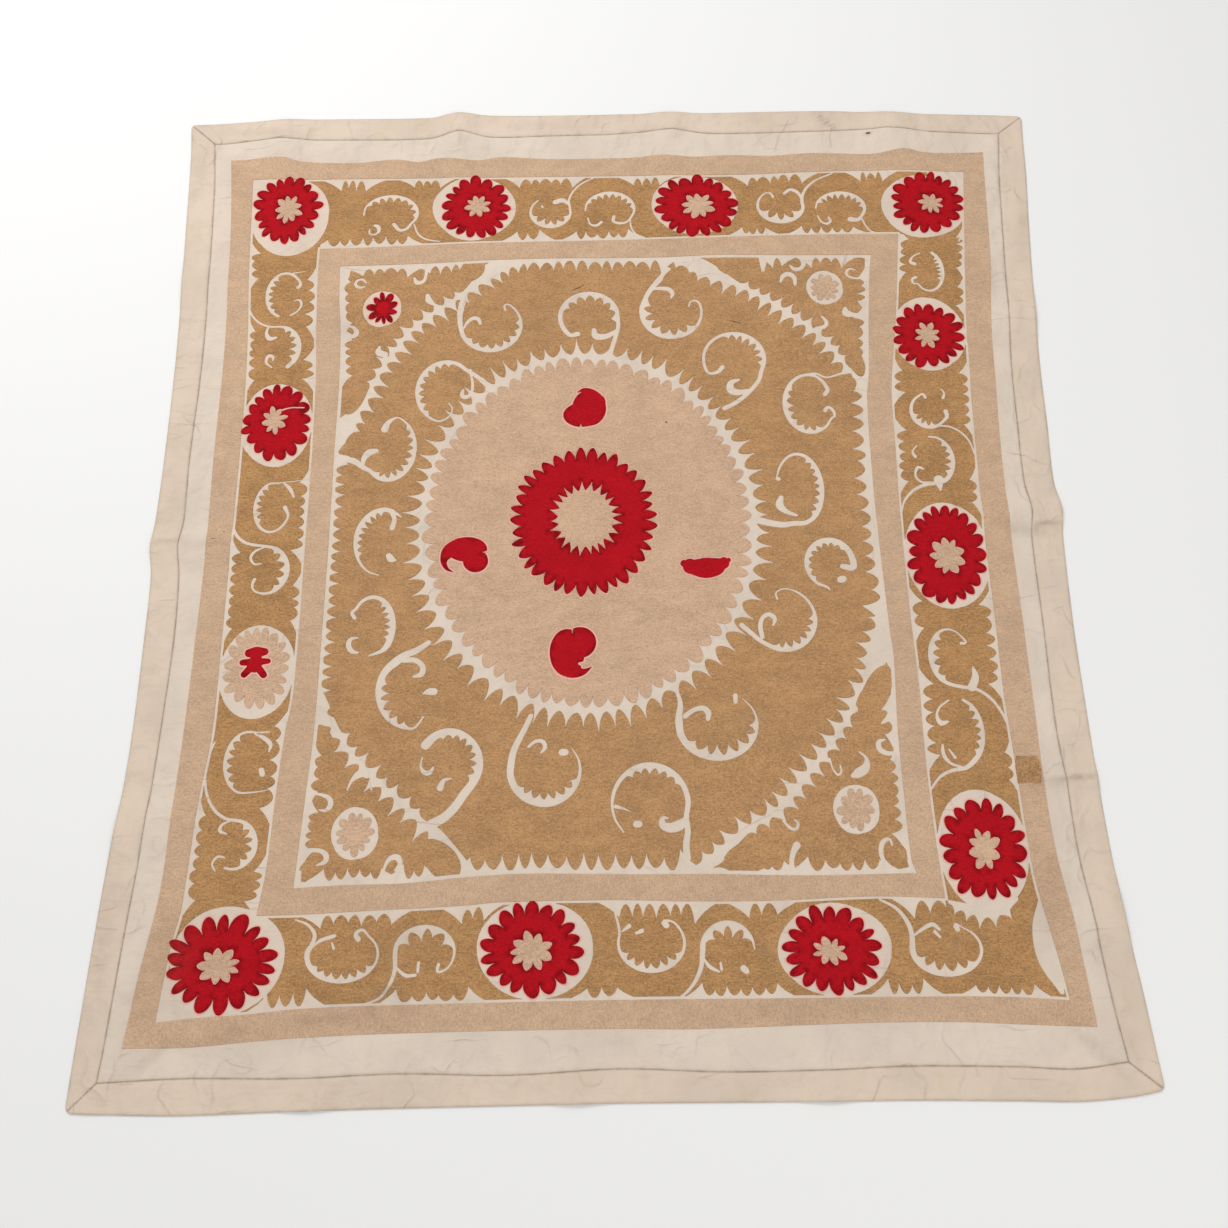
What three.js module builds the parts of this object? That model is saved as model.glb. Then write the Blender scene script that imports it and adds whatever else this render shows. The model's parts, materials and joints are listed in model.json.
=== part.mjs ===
// Embroidered tablecloth: a cotton panel worked nearly all over, with four mitred strips sewn
// round it. It lies open on a flat surface, with the low ripples, fold marks and drawn-in sides
// of an old, washed cloth. Millimetres, +Z up, +Y towards the edge that lies furthest away.
import * as THREE from 'three';

// Cloth
const SHEET_THICKNESS = 2;
const PIECE_GAP = 0.3;
const MITRE_TRIM = 0.25;

// Cells of the panel across and along the cloth, and across one border strip
const CELLS_ACROSS = 44;
const CELLS_ALONG = 48;
const STRIP_CELLS = 2;

// The middle of the laid-out cloth, in the measures of the tables below
const CLOTH_CENTRE = { x: 1.5, y: 4.5 };

// Where the cloth's own corners lie, and the corners of the seam between panel and strips
const CLOTH_CORNERS = {
  bottomLeft: { x: -752, y: -824 },
  bottomRight: { x: 748, y: -816 },
  topRight: { x: 755, y: 822 },
  topLeft: { x: -745, y: 818 },
};
const SEAM_CORNERS = {
  bottomLeft: { x: -713, y: -786 },
  bottomRight: { x: 702, y: -779 },
  topRight: { x: 708, y: 783 },
  topLeft: { x: -698, y: 774 },
};

// Each side from corner to corner: the station along it, then where the cloth's edge and the
// seam lie there. The sides draw in at the waist and step out at the old fold.
const LEFT_SIDE = [
  { y: -824, edge: -752, seam: -716 },
  { y: -786, edge: -751, seam: -713 },
  { y: -700, edge: -747, seam: -707 },
  { y: -600, edge: -742, seam: -700 },
  { y: -500, edge: -736, seam: -692 },
  { y: -400, edge: -727, seam: -685 },
  { y: -300, edge: -722, seam: -680 },
  { y: -150, edge: -721, seam: -675 },
  { y: -50, edge: -722, seam: -678 },
  { y: 0, edge: -728, seam: -684 },
  { y: 50, edge: -725, seam: -680 },
  { y: 150, edge: -723, seam: -682 },
  { y: 300, edge: -723, seam: -679 },
  { y: 400, edge: -725, seam: -680 },
  { y: 500, edge: -729, seam: -683 },
  { y: 600, edge: -733, seam: -687 },
  { y: 700, edge: -737, seam: -692 },
  { y: 774, edge: -741, seam: -698 },
  { y: 818, edge: -745, seam: -702 },
];
const RIGHT_SIDE = [
  { y: -816, edge: 748, seam: 706 },
  { y: -779, edge: 745, seam: 702 },
  { y: -690, edge: 738, seam: 692 },
  { y: -600, edge: 729, seam: 684 },
  { y: -500, edge: 722, seam: 674 },
  { y: -400, edge: 718, seam: 671 },
  { y: -300, edge: 716, seam: 666 },
  { y: -150, edge: 715, seam: 668 },
  { y: 0, edge: 719, seam: 669 },
  { y: 50, edge: 723, seam: 674 },
  { y: 100, edge: 717, seam: 669 },
  { y: 200, edge: 720, seam: 671 },
  { y: 300, edge: 722, seam: 674 },
  { y: 400, edge: 727, seam: 681 },
  { y: 500, edge: 733, seam: 687 },
  { y: 600, edge: 740, seam: 693 },
  { y: 700, edge: 748, seam: 700 },
  { y: 783, edge: 752, seam: 708 },
  { y: 822, edge: 755, seam: 712 },
];
const BOTTOM_SIDE = [
  { x: -752, edge: -824, seam: -786 },
  { x: -713, edge: -826, seam: -786 },
  { x: -600, edge: -829, seam: -782 },
  { x: -450, edge: -826, seam: -784 },
  { x: -300, edge: -824, seam: -780 },
  { x: -155, edge: -823, seam: -784 },
  { x: 0, edge: -822, seam: -778 },
  { x: 150, edge: -823, seam: -784 },
  { x: 300, edge: -824, seam: -783 },
  { x: 400, edge: -824, seam: -780 },
  { x: 550, edge: -827, seam: -783 },
  { x: 630, edge: -829, seam: -787 },
  { x: 702, edge: -824, seam: -779 },
  { x: 748, edge: -816, seam: -774 },
];
const TOP_SIDE = [
  { x: -745, edge: 818, seam: 770 },
  { x: -698, edge: 820, seam: 774 },
  { x: -600, edge: 827, seam: 785 },
  { x: -500, edge: 829, seam: 783 },
  { x: -320, edge: 830, seam: 784 },
  { x: -262, edge: 838, seam: 796 },
  { x: -200, edge: 834, seam: 786 },
  { x: -100, edge: 833, seam: 788 },
  { x: 0, edge: 834, seam: 790 },
  { x: 120, edge: 836, seam: 797 },
  { x: 200, edge: 836, seam: 790 },
  { x: 400, edge: 838, seam: 794 },
  { x: 500, edge: 833, seam: 797 },
  { x: 600, edge: 829, seam: 790 },
  { x: 708, edge: 825, seam: 783 },
  { x: 755, edge: 822, seam: 780 },
];

// Low ripples and fold marks: the middle of each, the way it runs (degrees from +X), how long
// and how broad it is, and how far it lifts the cloth
const RIPPLES = [
  { x: -262, y: 800, heading: 95, length: 340, breadth: 96, lift: 6.0 },
  { x: -580, y: 770, heading: 82, length: 300, breadth: 120, lift: 4.6 },
  { x: 115, y: 800, heading: 88, length: 320, breadth: 120, lift: 5.0 },
  { x: 525, y: 780, heading: 99, length: 330, breadth: 130, lift: 5.6 },
  { x: -650, y: 2, heading: 2, length: 420, breadth: 84, lift: 3.8 },
  { x: 640, y: 42, heading: 4, length: 460, breadth: 88, lift: 4.4 },
  { x: 690, y: -386, heading: 2, length: 260, breadth: 76, lift: 2.6 },
  { x: -700, y: -440, heading: 12, length: 260, breadth: 130, lift: 3.6 },
  { x: 705, y: -575, heading: -9, length: 250, breadth: 140, lift: 4.2 },
  { x: -705, y: 480, heading: -6, length: 240, breadth: 130, lift: 3.0 },
  { x: 705, y: 410, heading: 6, length: 260, breadth: 140, lift: 3.4 },
  { x: -420, y: -806, heading: 66, length: 200, breadth: 90, lift: 3.0 },
  { x: -60, y: -812, heading: 112, length: 170, breadth: 100, lift: 3.2 },
  { x: 290, y: -806, heading: 72, length: 190, breadth: 96, lift: 3.0 },
  { x: -700, y: 755, heading: -52, length: 230, breadth: 76, lift: 3.0 },
  { x: 700, y: 760, heading: 48, length: 190, breadth: 76, lift: 2.4 },
  { x: 672, y: -742, heading: -47, length: 270, breadth: 80, lift: 3.4 },
  { x: -690, y: -770, heading: 46, length: 210, breadth: 76, lift: 2.8 },
  { x: -330, y: 420, heading: 34, length: 420, breadth: 240, lift: 2.2 },
  { x: 300, y: -420, heading: -24, length: 440, breadth: 240, lift: 2.4 },
  { x: 330, y: 360, heading: -30, length: 360, breadth: 220, lift: 1.8 },
];

// A smooth line through the rows of a side's table
function smoothThrough(rows, station, column, at) {
  const last = rows.length - 1;
  let row = 0;
  while (row < last - 1 && rows[row + 1][station] < at) {
    row += 1;
  }
  const slopeAt = (index) => {
    const before = rows[Math.max(index - 1, 0)];
    const after = rows[Math.min(index + 1, last)];
    return (after[column] - before[column]) / (after[station] - before[station]);
  };
  const from = rows[row];
  const to = rows[row + 1];
  const span = to[station] - from[station];
  const t = THREE.MathUtils.clamp((at - from[station]) / span, 0, 1);
  const t2 = t * t;
  const t3 = t2 * t;
  return (
    (2 * t3 - 3 * t2 + 1) * from[column]
    + (t3 - 2 * t2 + t) * span * slopeAt(row)
    + (3 * t2 - 2 * t3) * to[column]
    + (t3 - t2) * span * slopeAt(row + 1)
  );
}

// A line from corner to corner, either along the cloth's edge or along the seam
function sideLine(rows, station, column, from, to) {
  return (t) => {
    const at = THREE.MathUtils.lerp(from[station], to[station], t);
    const off = smoothThrough(rows, station, column, at);
    return station === 'x' ? new THREE.Vector2(at, off) : new THREE.Vector2(off, at);
  };
}

function outline(corners, column) {
  const { bottomLeft, bottomRight, topRight, topLeft } = corners;
  return {
    left: sideLine(LEFT_SIDE, 'y', column, bottomLeft, topLeft),
    right: sideLine(RIGHT_SIDE, 'y', column, bottomRight, topRight),
    bottom: sideLine(BOTTOM_SIDE, 'x', column, bottomLeft, bottomRight),
    top: sideLine(TOP_SIDE, 'x', column, topLeft, topRight),
  };
}

const clothEdge = outline(CLOTH_CORNERS, 'edge');
const seamLine = outline(SEAM_CORNERS, 'seam');

// A soft hump, 1 in the middle and 0 from one half-width out
function hump(distance, width) {
  const share = Math.min(Math.abs(distance) / (width / 2), 1);
  return Math.cos((share * Math.PI) / 2) ** 2;
}

// How far the cloth's underside is lifted off the surface
function rise(x, y) {
  return RIPPLES.reduce((total, ripple) => {
    const heading = THREE.MathUtils.degToRad(ripple.heading);
    const dx = x - ripple.x;
    const dy = y - ripple.y;
    const along = dx * Math.cos(heading) + dy * Math.sin(heading);
    const across = dy * Math.cos(heading) - dx * Math.sin(heading);
    return total + ripple.lift * hump(along, ripple.length) * hump(across, ripple.breadth);
  }, 0);
}

// A closed sheet of even thickness whose plan is given by a function of u and v
function sheetGeometry(cellsU, cellsV, planAt) {
  const positions = [];
  for (const height of [SHEET_THICKNESS, 0]) {
    for (let v = 0; v <= cellsV; v += 1) {
      for (let u = 0; u <= cellsU; u += 1) {
        const point = planAt(u / cellsU, v / cellsV);
        positions.push(point.x, point.y, rise(point.x, point.y) + height);
      }
    }
  }
  const perRow = cellsU + 1;
  const perFace = perRow * (cellsV + 1);
  const upper = (u, v) => v * perRow + u;
  const lower = (u, v) => perFace + upper(u, v);
  const index = [];
  const quad = (a, b, c, d) => index.push(a, b, c, a, c, d);
  for (let v = 0; v < cellsV; v += 1) {
    for (let u = 0; u < cellsU; u += 1) {
      quad(upper(u, v), upper(u + 1, v), upper(u + 1, v + 1), upper(u, v + 1));
      quad(lower(u, v), lower(u, v + 1), lower(u + 1, v + 1), lower(u + 1, v));
    }
  }
  for (let u = 0; u < cellsU; u += 1) {
    quad(lower(u, 0), lower(u + 1, 0), upper(u + 1, 0), upper(u, 0));
    quad(lower(u + 1, cellsV), lower(u, cellsV), upper(u, cellsV), upper(u + 1, cellsV));
  }
  for (let v = 0; v < cellsV; v += 1) {
    quad(lower(0, v + 1), lower(0, v), upper(0, v), upper(0, v + 1));
    quad(lower(cellsU, v), lower(cellsU, v + 1), upper(cellsU, v + 1), upper(cellsU, v));
  }
  const geometry = new THREE.BufferGeometry();
  geometry.setAttribute('position', new THREE.Float32BufferAttribute(positions, 3));
  geometry.setIndex(index);
  geometry.computeVertexNormals();
  return geometry;
}

// The panel fills the four seam lines, half a gap inside them
function panelPlan(u, v) {
  const left = seamLine.left(v);
  const right = seamLine.right(v);
  const bottom = seamLine.bottom(u);
  const top = seamLine.top(u);
  const corners = SEAM_CORNERS;
  const mix = (key) => {
    const sides = (1 - u) * left[key] + u * right[key];
    const ends = (1 - v) * bottom[key] + v * top[key];
    const lowRow = (1 - u) * corners.bottomLeft[key] + u * corners.bottomRight[key];
    const highRow = (1 - u) * corners.topLeft[key] + u * corners.topRight[key];
    return sides + ends - (1 - v) * lowRow - v * highRow;
  };
  const inset = PIECE_GAP / 2;
  return new THREE.Vector2(mix('x') + inset * (1 - 2 * u), mix('y') + inset * (1 - 2 * v));
}

// A strip lies between the seam and the cloth's edge. t runs along it and its mitred ends are
// trimmed back; out runs from the seam, half a gap off it, to the edge.
function stripPoint(side, t, out) {
  const seam = seamLine[side](t);
  const edge = clothEdge[side](t);
  const point = seam.clone().lerp(edge, out);
  const trim = MITRE_TRIM * (1 - 2 * t);
  const offSeam = (PIECE_GAP / 2) * (1 - out);
  if (side === 'left' || side === 'right') {
    return point.add(new THREE.Vector2(side === 'left' ? -offSeam : offSeam, trim));
  }
  return point.add(new THREE.Vector2(trim, side === 'bottom' ? -offSeam : offSeam));
}

function clothMaterial(color) {
  return new THREE.MeshStandardMaterial({ color, roughness: 0.9, metalness: 0 });
}

function clothPiece(name, geometry, color) {
  const mesh = new THREE.Mesh(geometry, clothMaterial(color));
  mesh.name = name;
  return mesh;
}

const PANEL_COLOR = 0xd9cbb8;
const STRIP_COLOR = 0xd6c7ae;

const tablecloth = new THREE.Group();
tablecloth.position.set(-CLOTH_CENTRE.x, -CLOTH_CENTRE.y, 0);

tablecloth.add(
  clothPiece('ground_cloth', sheetGeometry(CELLS_ACROSS, CELLS_ALONG, panelPlan), PANEL_COLOR),
);

// Every strip's plan runs to +X with u and to +Y with v, so its faces all point outwards
const strips = [
  { side: 'bottom', cells: [CELLS_ACROSS, STRIP_CELLS], plan: (u, v) => stripPoint('bottom', u, 1 - v) },
  { side: 'top', cells: [CELLS_ACROSS, STRIP_CELLS], plan: (u, v) => stripPoint('top', u, v) },
  { side: 'left', cells: [STRIP_CELLS, CELLS_ALONG], plan: (u, v) => stripPoint('left', v, 1 - u) },
  { side: 'right', cells: [STRIP_CELLS, CELLS_ALONG], plan: (u, v) => stripPoint('right', v, u) },
];
for (const { side, cells, plan } of strips) {
  const geometry = sheetGeometry(cells[0], cells[1], plan);
  tablecloth.add(clothPiece(`border_strip_${side}`, geometry, STRIP_COLOR));
}

export default tablecloth;
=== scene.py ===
import json
import math
import random
from collections import namedtuple

import bpy
import numpy as np
from mathutils import Matrix, Vector
from mathutils.geometry import delaunay_2d_cdt

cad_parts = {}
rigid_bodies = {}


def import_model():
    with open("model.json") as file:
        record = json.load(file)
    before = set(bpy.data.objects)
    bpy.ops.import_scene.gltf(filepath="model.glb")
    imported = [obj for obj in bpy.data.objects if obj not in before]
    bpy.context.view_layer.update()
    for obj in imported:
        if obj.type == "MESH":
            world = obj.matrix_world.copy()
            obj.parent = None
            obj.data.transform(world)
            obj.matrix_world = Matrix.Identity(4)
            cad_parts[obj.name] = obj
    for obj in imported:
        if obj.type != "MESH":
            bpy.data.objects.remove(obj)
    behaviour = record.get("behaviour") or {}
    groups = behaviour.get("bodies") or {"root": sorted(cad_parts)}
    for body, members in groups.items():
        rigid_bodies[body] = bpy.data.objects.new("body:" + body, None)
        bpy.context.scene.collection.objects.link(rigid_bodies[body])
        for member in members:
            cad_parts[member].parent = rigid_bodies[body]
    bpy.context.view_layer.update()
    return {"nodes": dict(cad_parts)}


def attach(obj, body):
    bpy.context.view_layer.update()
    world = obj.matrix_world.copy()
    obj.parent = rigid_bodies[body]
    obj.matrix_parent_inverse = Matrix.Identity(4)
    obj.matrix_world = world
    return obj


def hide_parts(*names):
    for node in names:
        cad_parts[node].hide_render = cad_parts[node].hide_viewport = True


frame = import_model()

bl_info = {
    "name": "Embroidered tablecloth",
    "version": (1, 0, 0),
    "blender": (4, 5, 0),
    "location": "View3D > Sidebar > Tablecloth",
    "description": "Lays a cotton cloth with raised medallion, scroll and rosette embroidery",
    "category": "Object",
}

# Lengths in the tables are in millimetres, x to the right and y towards the far edge.
# The frame's origin lies at this point of them.
CLOTH_CENTRE = (1.5, 4.5)

Corner = namedtuple("Corner", "x y")
Side = namedtuple("Side", "at edge seam")
Ripple = namedtuple("Ripple", "x y heading length breadth lift")
Mark = namedtuple("Mark", "x y heading length breadth strength")
Rosette = namedtuple("Rosette", "name x y width height petals depth")
Heart = namedtuple("Heart", "x y width height points")
Reserve = namedtuple("Reserve", "x y rx ry")
Scroll = namedtuple("Scroll", "x y rx ry start sweep spikes widths head tail")
Oval = namedtuple("Oval", "x y long broad heading")
Notches = namedtuple("Notches", "line start stop count depth bare", defaults=(3,))
Gap = namedtuple("Gap", "name spray_side points spray_from spray_to")
Camera = namedtuple("Camera", "around raised roll target distance lens sensor")
Lamp = namedtuple("Lamp", "name place width power")
Mend = namedtuple("Mend", "left right bottom top")
Leaf = namedtuple("Leaf", "name bodies horns nicks")

# The cloth's outline

CLOTH_CORNERS = {
    "bottom_left": Corner(-752, -824),
    "bottom_right": Corner(748, -816),
    "top_right": Corner(755, 822),
    "top_left": Corner(-745, 818),
}
SEAM_CORNERS = {
    "bottom_left": Corner(-713, -786),
    "bottom_right": Corner(702, -779),
    "top_right": Corner(708, 783),
    "top_left": Corner(-698, 774),
}
# Columns: station along the side, the cloth's edge, the seam
SIDES = {
    "left": [Side(*row) for row in (
        (-824, -752, -716), (-786, -751, -713), (-700, -747, -707), (-600, -742, -700),
        (-500, -736, -692), (-400, -727, -685), (-300, -722, -680), (-150, -721, -675),
        (-50, -722, -678), (0, -728, -684), (50, -725, -680), (150, -723, -682),
        (300, -723, -679), (400, -725, -680), (500, -729, -683), (600, -733, -687),
        (700, -737, -692), (774, -741, -698), (818, -745, -702),
    )],
    "right": [Side(*row) for row in (
        (-816, 748, 706), (-779, 745, 702), (-690, 738, 692), (-600, 729, 684),
        (-500, 722, 674), (-400, 718, 671), (-300, 716, 666), (-150, 715, 668),
        (0, 719, 669), (50, 723, 674), (100, 717, 669), (200, 720, 671),
        (300, 722, 674), (400, 727, 681), (500, 733, 687), (600, 740, 693),
        (700, 748, 700), (783, 752, 708), (822, 755, 712),
    )],
    "bottom": [Side(*row) for row in (
        (-752, -824, -786), (-713, -826, -786), (-600, -829, -782), (-450, -826, -784),
        (-300, -824, -780), (-155, -823, -784), (0, -822, -778), (150, -823, -784),
        (300, -824, -783), (400, -824, -780), (550, -827, -783), (630, -829, -787),
        (702, -824, -779), (748, -816, -774),
    )],
    "top": [Side(*row) for row in (
        (-745, 818, 770), (-698, 820, 774), (-600, 827, 785), (-500, 829, 783),
        (-320, 830, 784), (-262, 838, 796), (-200, 834, 786), (-100, 833, 788),
        (0, 834, 790), (120, 836, 797), (200, 836, 790), (400, 838, 794),
        (500, 833, 797), (600, 829, 790), (708, 825, 783), (755, 822, 780),
    )],
}
SIDE_ENDS = {
    "left": ("bottom_left", "top_left"),
    "right": ("bottom_right", "top_right"),
    "bottom": ("bottom_left", "bottom_right"),
    "top": ("top_left", "top_right"),
}

# The low ripples in which the cloth lies, as in the solids
RIPPLES = [Ripple(*row) for row in (
    (-262, 800, 95, 340, 96, 6.0), (-580, 770, 82, 300, 120, 4.6),
    (115, 800, 88, 320, 120, 5.0), (525, 780, 99, 330, 130, 5.6),
    (-650, 2, 2, 420, 84, 3.8), (640, 42, 4, 460, 88, 4.4),
    (690, -386, 2, 260, 76, 2.6), (-700, -440, 12, 260, 130, 3.6),
    (705, -575, -9, 250, 140, 4.2), (-705, 480, -6, 240, 130, 3.0),
    (705, 410, 6, 260, 140, 3.4), (-420, -806, 66, 200, 90, 3.0),
    (-60, -812, 112, 170, 100, 3.2), (290, -806, 72, 190, 96, 3.0),
    (-700, 755, -52, 230, 76, 3.0), (700, 760, 48, 190, 76, 2.4),
    (672, -742, -47, 270, 80, 3.4), (-690, -770, 46, 210, 76, 2.8),
    (-330, 420, 34, 420, 240, 2.2), (300, -420, -24, 440, 240, 2.4),
    (330, 360, -30, 360, 220, 1.8),
)]
# The finer creases that only the sheet itself shows: pulls at the seam, the old fold across,
# the pleats at the corners and small troughs in the margins
CREASES = [Ripple(*row) for row in (
    (-262, 792, 96, 110, 30, 1.6), (120, 792, 84, 100, 34, 1.3),
    (505, 790, 100, 110, 32, 1.3), (-585, 778, 84, 100, 40, 1.0),
    (300, 776, 92, 80, 22, -0.9), (-60, 772, 88, 80, 26, -0.8),
    (-640, 16, 8, 190, 17, 1.5), (-668, -14, -12, 130, 20, -0.9),
    (-480, 22, 3, 260, 24, 0.8), (-220, 30, 1, 320, 26, 0.6),
    (90, 26, -1, 340, 26, 0.6), (360, 32, 2, 280, 24, 0.7),
    (612, 36, 6, 200, 18, 1.6), (655, 8, -9, 140, 22, -0.9),
    (676, -384, 3, 120, 14, 1.4), (640, -398, -6, 110, 18, -0.7),
    (-690, -420, 18, 110, 30, 1.1), (-684, -560, -12, 100, 26, 0.9),
    (-690, -640, 10, 110, 22, -0.7), (690, -600, -14, 120, 30, 1.2),
    (690, 300, 8, 100, 30, 0.9), (-690, 300, -8, 110, 28, 0.8),
    (-690, 560, 7, 100, 28, 0.8), (700, 560, -8, 110, 30, 0.9),
    (-560, -772, 82, 90, 26, 0.9), (-350, -790, 64, 80, 24, 1.1),
    (-225, -776, 100, 70, 20, -0.8), (-120, -798, 108, 80, 22, 1.1),
    (70, -776, 84, 76, 22, 0.9), (200, -792, 70, 86, 24, 1.0),
    (400, -778, 98, 80, 24, -0.8), (520, -794, 76, 90, 26, 1.1),
    (640, -760, -44, 150, 20, 1.6), (676, -716, -52, 110, 22, -0.9),
    (-676, -760, 44, 130, 20, 1.4), (-640, -720, 52, 100, 26, -0.7),
    (-684, 746, -50, 120, 20, 1.2), (690, 748, 46, 110, 20, 1.1),
    (400, 812, -52, 60, 9, 1.2),
)]
# Soil in the cloth: the dirty fold lines, handled edges and rubbed places
STAINS = [Mark(*row) for row in (
    (-700, 10, 4, 90, 16, 0.34), (-650, 4, 6, 150, 26, 0.16), (700, 24, 6, 100, 18, 0.42),
    (662, 12, -8, 150, 30, 0.22), (688, -384, 3, 110, 14, 0.40), (640, -392, 0, 120, 30, 0.16),
    (-640, -752, 42, 170, 26, 0.16), (650, -752, -46, 190, 26, 0.20),
    (-330, -690, 0, 190, 90, 0.22), (-300, -610, 20, 170, 80, 0.20),
    (480, -622, 62, 60, 24, 0.34), (-640, -640, 60, 260, 110, 0.14),
    (620, -560, 80, 260, 90, 0.14), (250, -706, 0, 520, 50, 0.12),
    (-480, -720, 4, 300, 40, 0.12), (-110, 812, 0, 260, 34, 0.10),
    (-600, 800, 0, 200, 34, 0.12), (400, 812, -52, 70, 10, 0.55),
    (-262, 786, 96, 60, 14, 0.18), (-720, 700, 80, 160, 50, 0.12),
    (730, 600, 86, 260, 50, 0.12), (-730, -620, 86, 320, 60, 0.14),
    (730, -560, 98, 300, 60, 0.16), (-440, 400, 30, 130, 60, 0.10),
    (330, 240, 60, 160, 90, 0.10), (-120, 420, 10, 220, 110, 0.10),
    (60, -340, 0, 260, 110, 0.08), (473, 787, 20, 24, 9, 0.6),
    (308, 656, -58, 70, 12, 0.46), (-448, 625, 90, 80, 34, 0.26), (-178, -492, 0, 34, 14, 0.40),
    (394, -140, 62, 36, 12, 0.42), (-318, -668, 42, 60, 14, 0.40), (-400, -706, 0, 130, 16, 0.20),
    (190, -300, 30, 160, 60, 0.12), (-330, 40, 80, 200, 40, 0.08), (-180, 165, 70, 40, 16, 0.22),
    (60, -110, 15, 50, 12, 0.20), (545, 165, 90, 120, 40, 0.14), (210, -620, 90, 90, 30, 0.22),
    (440, 640, 90, 90, 30, 0.14), (-590, 470, 90, 120, 26, 0.12), (-250, -470, 20, 120, 60, 0.10),
)]
# Pink from the red dye, washed into the cloth round the reds, and the most that any spot takes
MOST_DYE = 0.8
DYE = [Mark(*row) for row in (
    (-555, 625, 0, 330, 330, 0.7), (-230, 634, 0, 260, 210, 0.7), (157, 636, 0, 300, 210, 0.7),
    (560, 632, 0, 300, 280, 0.7), (-546, 216, 0, 200, 260, 0.7), (540, 372, 0, 220, 260, 0.7),
    (531, -28, 0, 220, 300, 0.6), (536, -487, 0, 220, 280, 0.6), (-552, -628, 0, 320, 280, 0.6),
    (-118, -618, 0, 300, 220, 0.6), (306, -624, 0, 300, 220, 0.6), (-382, 431, 0, 170, 170, 0.9),
    (-40, 40, 0, 760, 820, 0.35), (-543, -204, 0, 180, 220, 0.4),
)]

# The embroidery's outlines

# The two plain frames, each side a line of stations and offsets
OUTER_OUT = {
    "left": ((-742, -684), (-650, -673), (-600, -665), (-550, -657), (-500, -653), (-400, -649),
             (-300, -645), (-150, -642), (0, -640), (150, -643), (300, -643), (400, -645),
             (500, -650), (600, -655), (739, -666)),
    "right": ((-733, 665), (-700, 664), (-600, 655), (-500, 642), (-400, 637), (-300, 637),
              (-150, 637), (0, 636), (150, 638), (300, 645), (400, 650), (500, 662),
              (600, 668), (742, 675)),
    "top": ((-666, 739), (-578, 744), (-541, 736), (-444, 732), (-373, 739), (-332, 733),
            (-298, 741), (-235, 734), (-187, 742), (-101, 737), (41, 738), (93, 742),
            (149, 739), (216, 742), (295, 740), (369, 745), (481, 742), (537, 750),
            (563, 744), (675, 742)),
    "bottom": ((-684, -742), (-593, -742), (-500, -735), (-400, -730), (-250, -727), (0, -726),
               (100, -728), (358, -723), (480, -724), (556, -728), (665, -733)),
}
OUTER_IN = {
    "left": ((-709, -642), (-650, -636), (-600, -630), (-560, -622), (-500, -618), (-400, -612),
             (-300, -602), (-150, -601), (0, -601), (150, -601), (300, -603), (400, -608),
             (500, -615), (697, -624)),
    "right": ((-697, 632), (-650, 626), (-600, 617), (-550, 608), (-500, 603), (-400, 599),
              (-300, 595), (-250, 593), (-150, 594), (0, 594), (250, 600), (300, 603),
              (400, 608), (500, 617), (701, 636)),
    "top": ((-624, 697), (-300, 698), (0, 699), (250, 700), (350, 704), (450, 706),
            (560, 704), (636, 701)),
    "bottom": ((-642, -709), (-593, -704), (-518, -700), (-450, -694), (-350, -691), (0, -688),
               (220, -689), (480, -690), (556, -692), (632, -697)),
}
INNER_OUT = {
    "left": ((-567, -514), (-500, -505), (-400, -500), (-300, -493), (-250, -486), (-150, -484),
             (0, -484), (150, -484), (300, -487), (400, -493), (500, -497), (553, -497)),
    "right": ((-556, 473), (-500, 469), (-400, 465), (-300, 465), (-250, 466), (-100, 463),
              (50, 463), (150, 466), (250, 468), (300, 473), (400, 488), (500, 500), (573, 508)),
    "top": ((-497, 553), (-444, 554), (-332, 558), (-220, 562), (0, 565), (93, 567),
            (250, 571), (400, 573), (508, 573)),
    "bottom": ((-514, -567), (-444, -566), (-350, -562), (-220, -557), (-168, -553), (0, -552),
               (93, -555), (220, -556), (370, -552), (473, -556)),
}
INNER_IN = {
    "left": ((-529, -464), (-500, -462), (-400, -456), (-300, -450), (-150, -448), (0, -447),
             (150, -448), (300, -448), (400, -452), (450, -457), (517, -460)),
    "right": ((-520, 435), (-500, 429), (-400, 427), (-300, 427), (-200, 431), (-150, 429),
              (0, 425), (100, 424), (250, 427), (300, 434), (400, 442), (500, 452), (530, 457)),
    "top": ((-460, 517), (-302, 521), (-220, 526), (-93, 529), (93, 529), (190, 533),
            (330, 531), (457, 530)),
    "bottom": ((-464, -529), (-400, -526), (-300, -524), (-205, -516), (-130, -513), (20, -516),
               (130, -517), (280, -521), (435, -520)),
}

ROSETTES = [Rosette(*row) for row in (
    ("top_left", -559, 635, 121, 144, 18, 17), ("top_second", -228, 635, 123, 132, 17, 17),
    ("top_third", 158, 635, 149, 132, 18, 18), ("top_right", 566, 637, 131, 135, 18, 18),
    ("left_upper", -545, 218, 117, 138, 17, 15), ("right_upper", 539, 370, 127, 131, 17, 19),
    ("right_middle", 530, -28, 129, 174, 20, 17), ("right_lower", 536, -487, 133, 153, 17, 20),
    ("bottom_left", -559, -632, 164, 141, 18, 25), ("bottom_second", -120, -618, 150, 137, 18, 20),
    ("bottom_third", 305, -625, 143, 129, 18, 21),
)]
HEARTS = [Heart(*row) for row in (
    (-557, 635, 48, 55, 9), (-226, 638, 45, 47, 8), (162, 635, 56, 52, 9),
    (571, 636, 45, 42, 8), (-550, 222, 40, 51, 8), (539, 370, 43, 47, 8),
    (532, -30, 55, 64, 9), (537, -487, 47, 58, 8), (-562, -635, 58, 51, 9),
    (-121, -620, 62, 50, 9), (302, -627, 47, 39, 8),
)]
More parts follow.
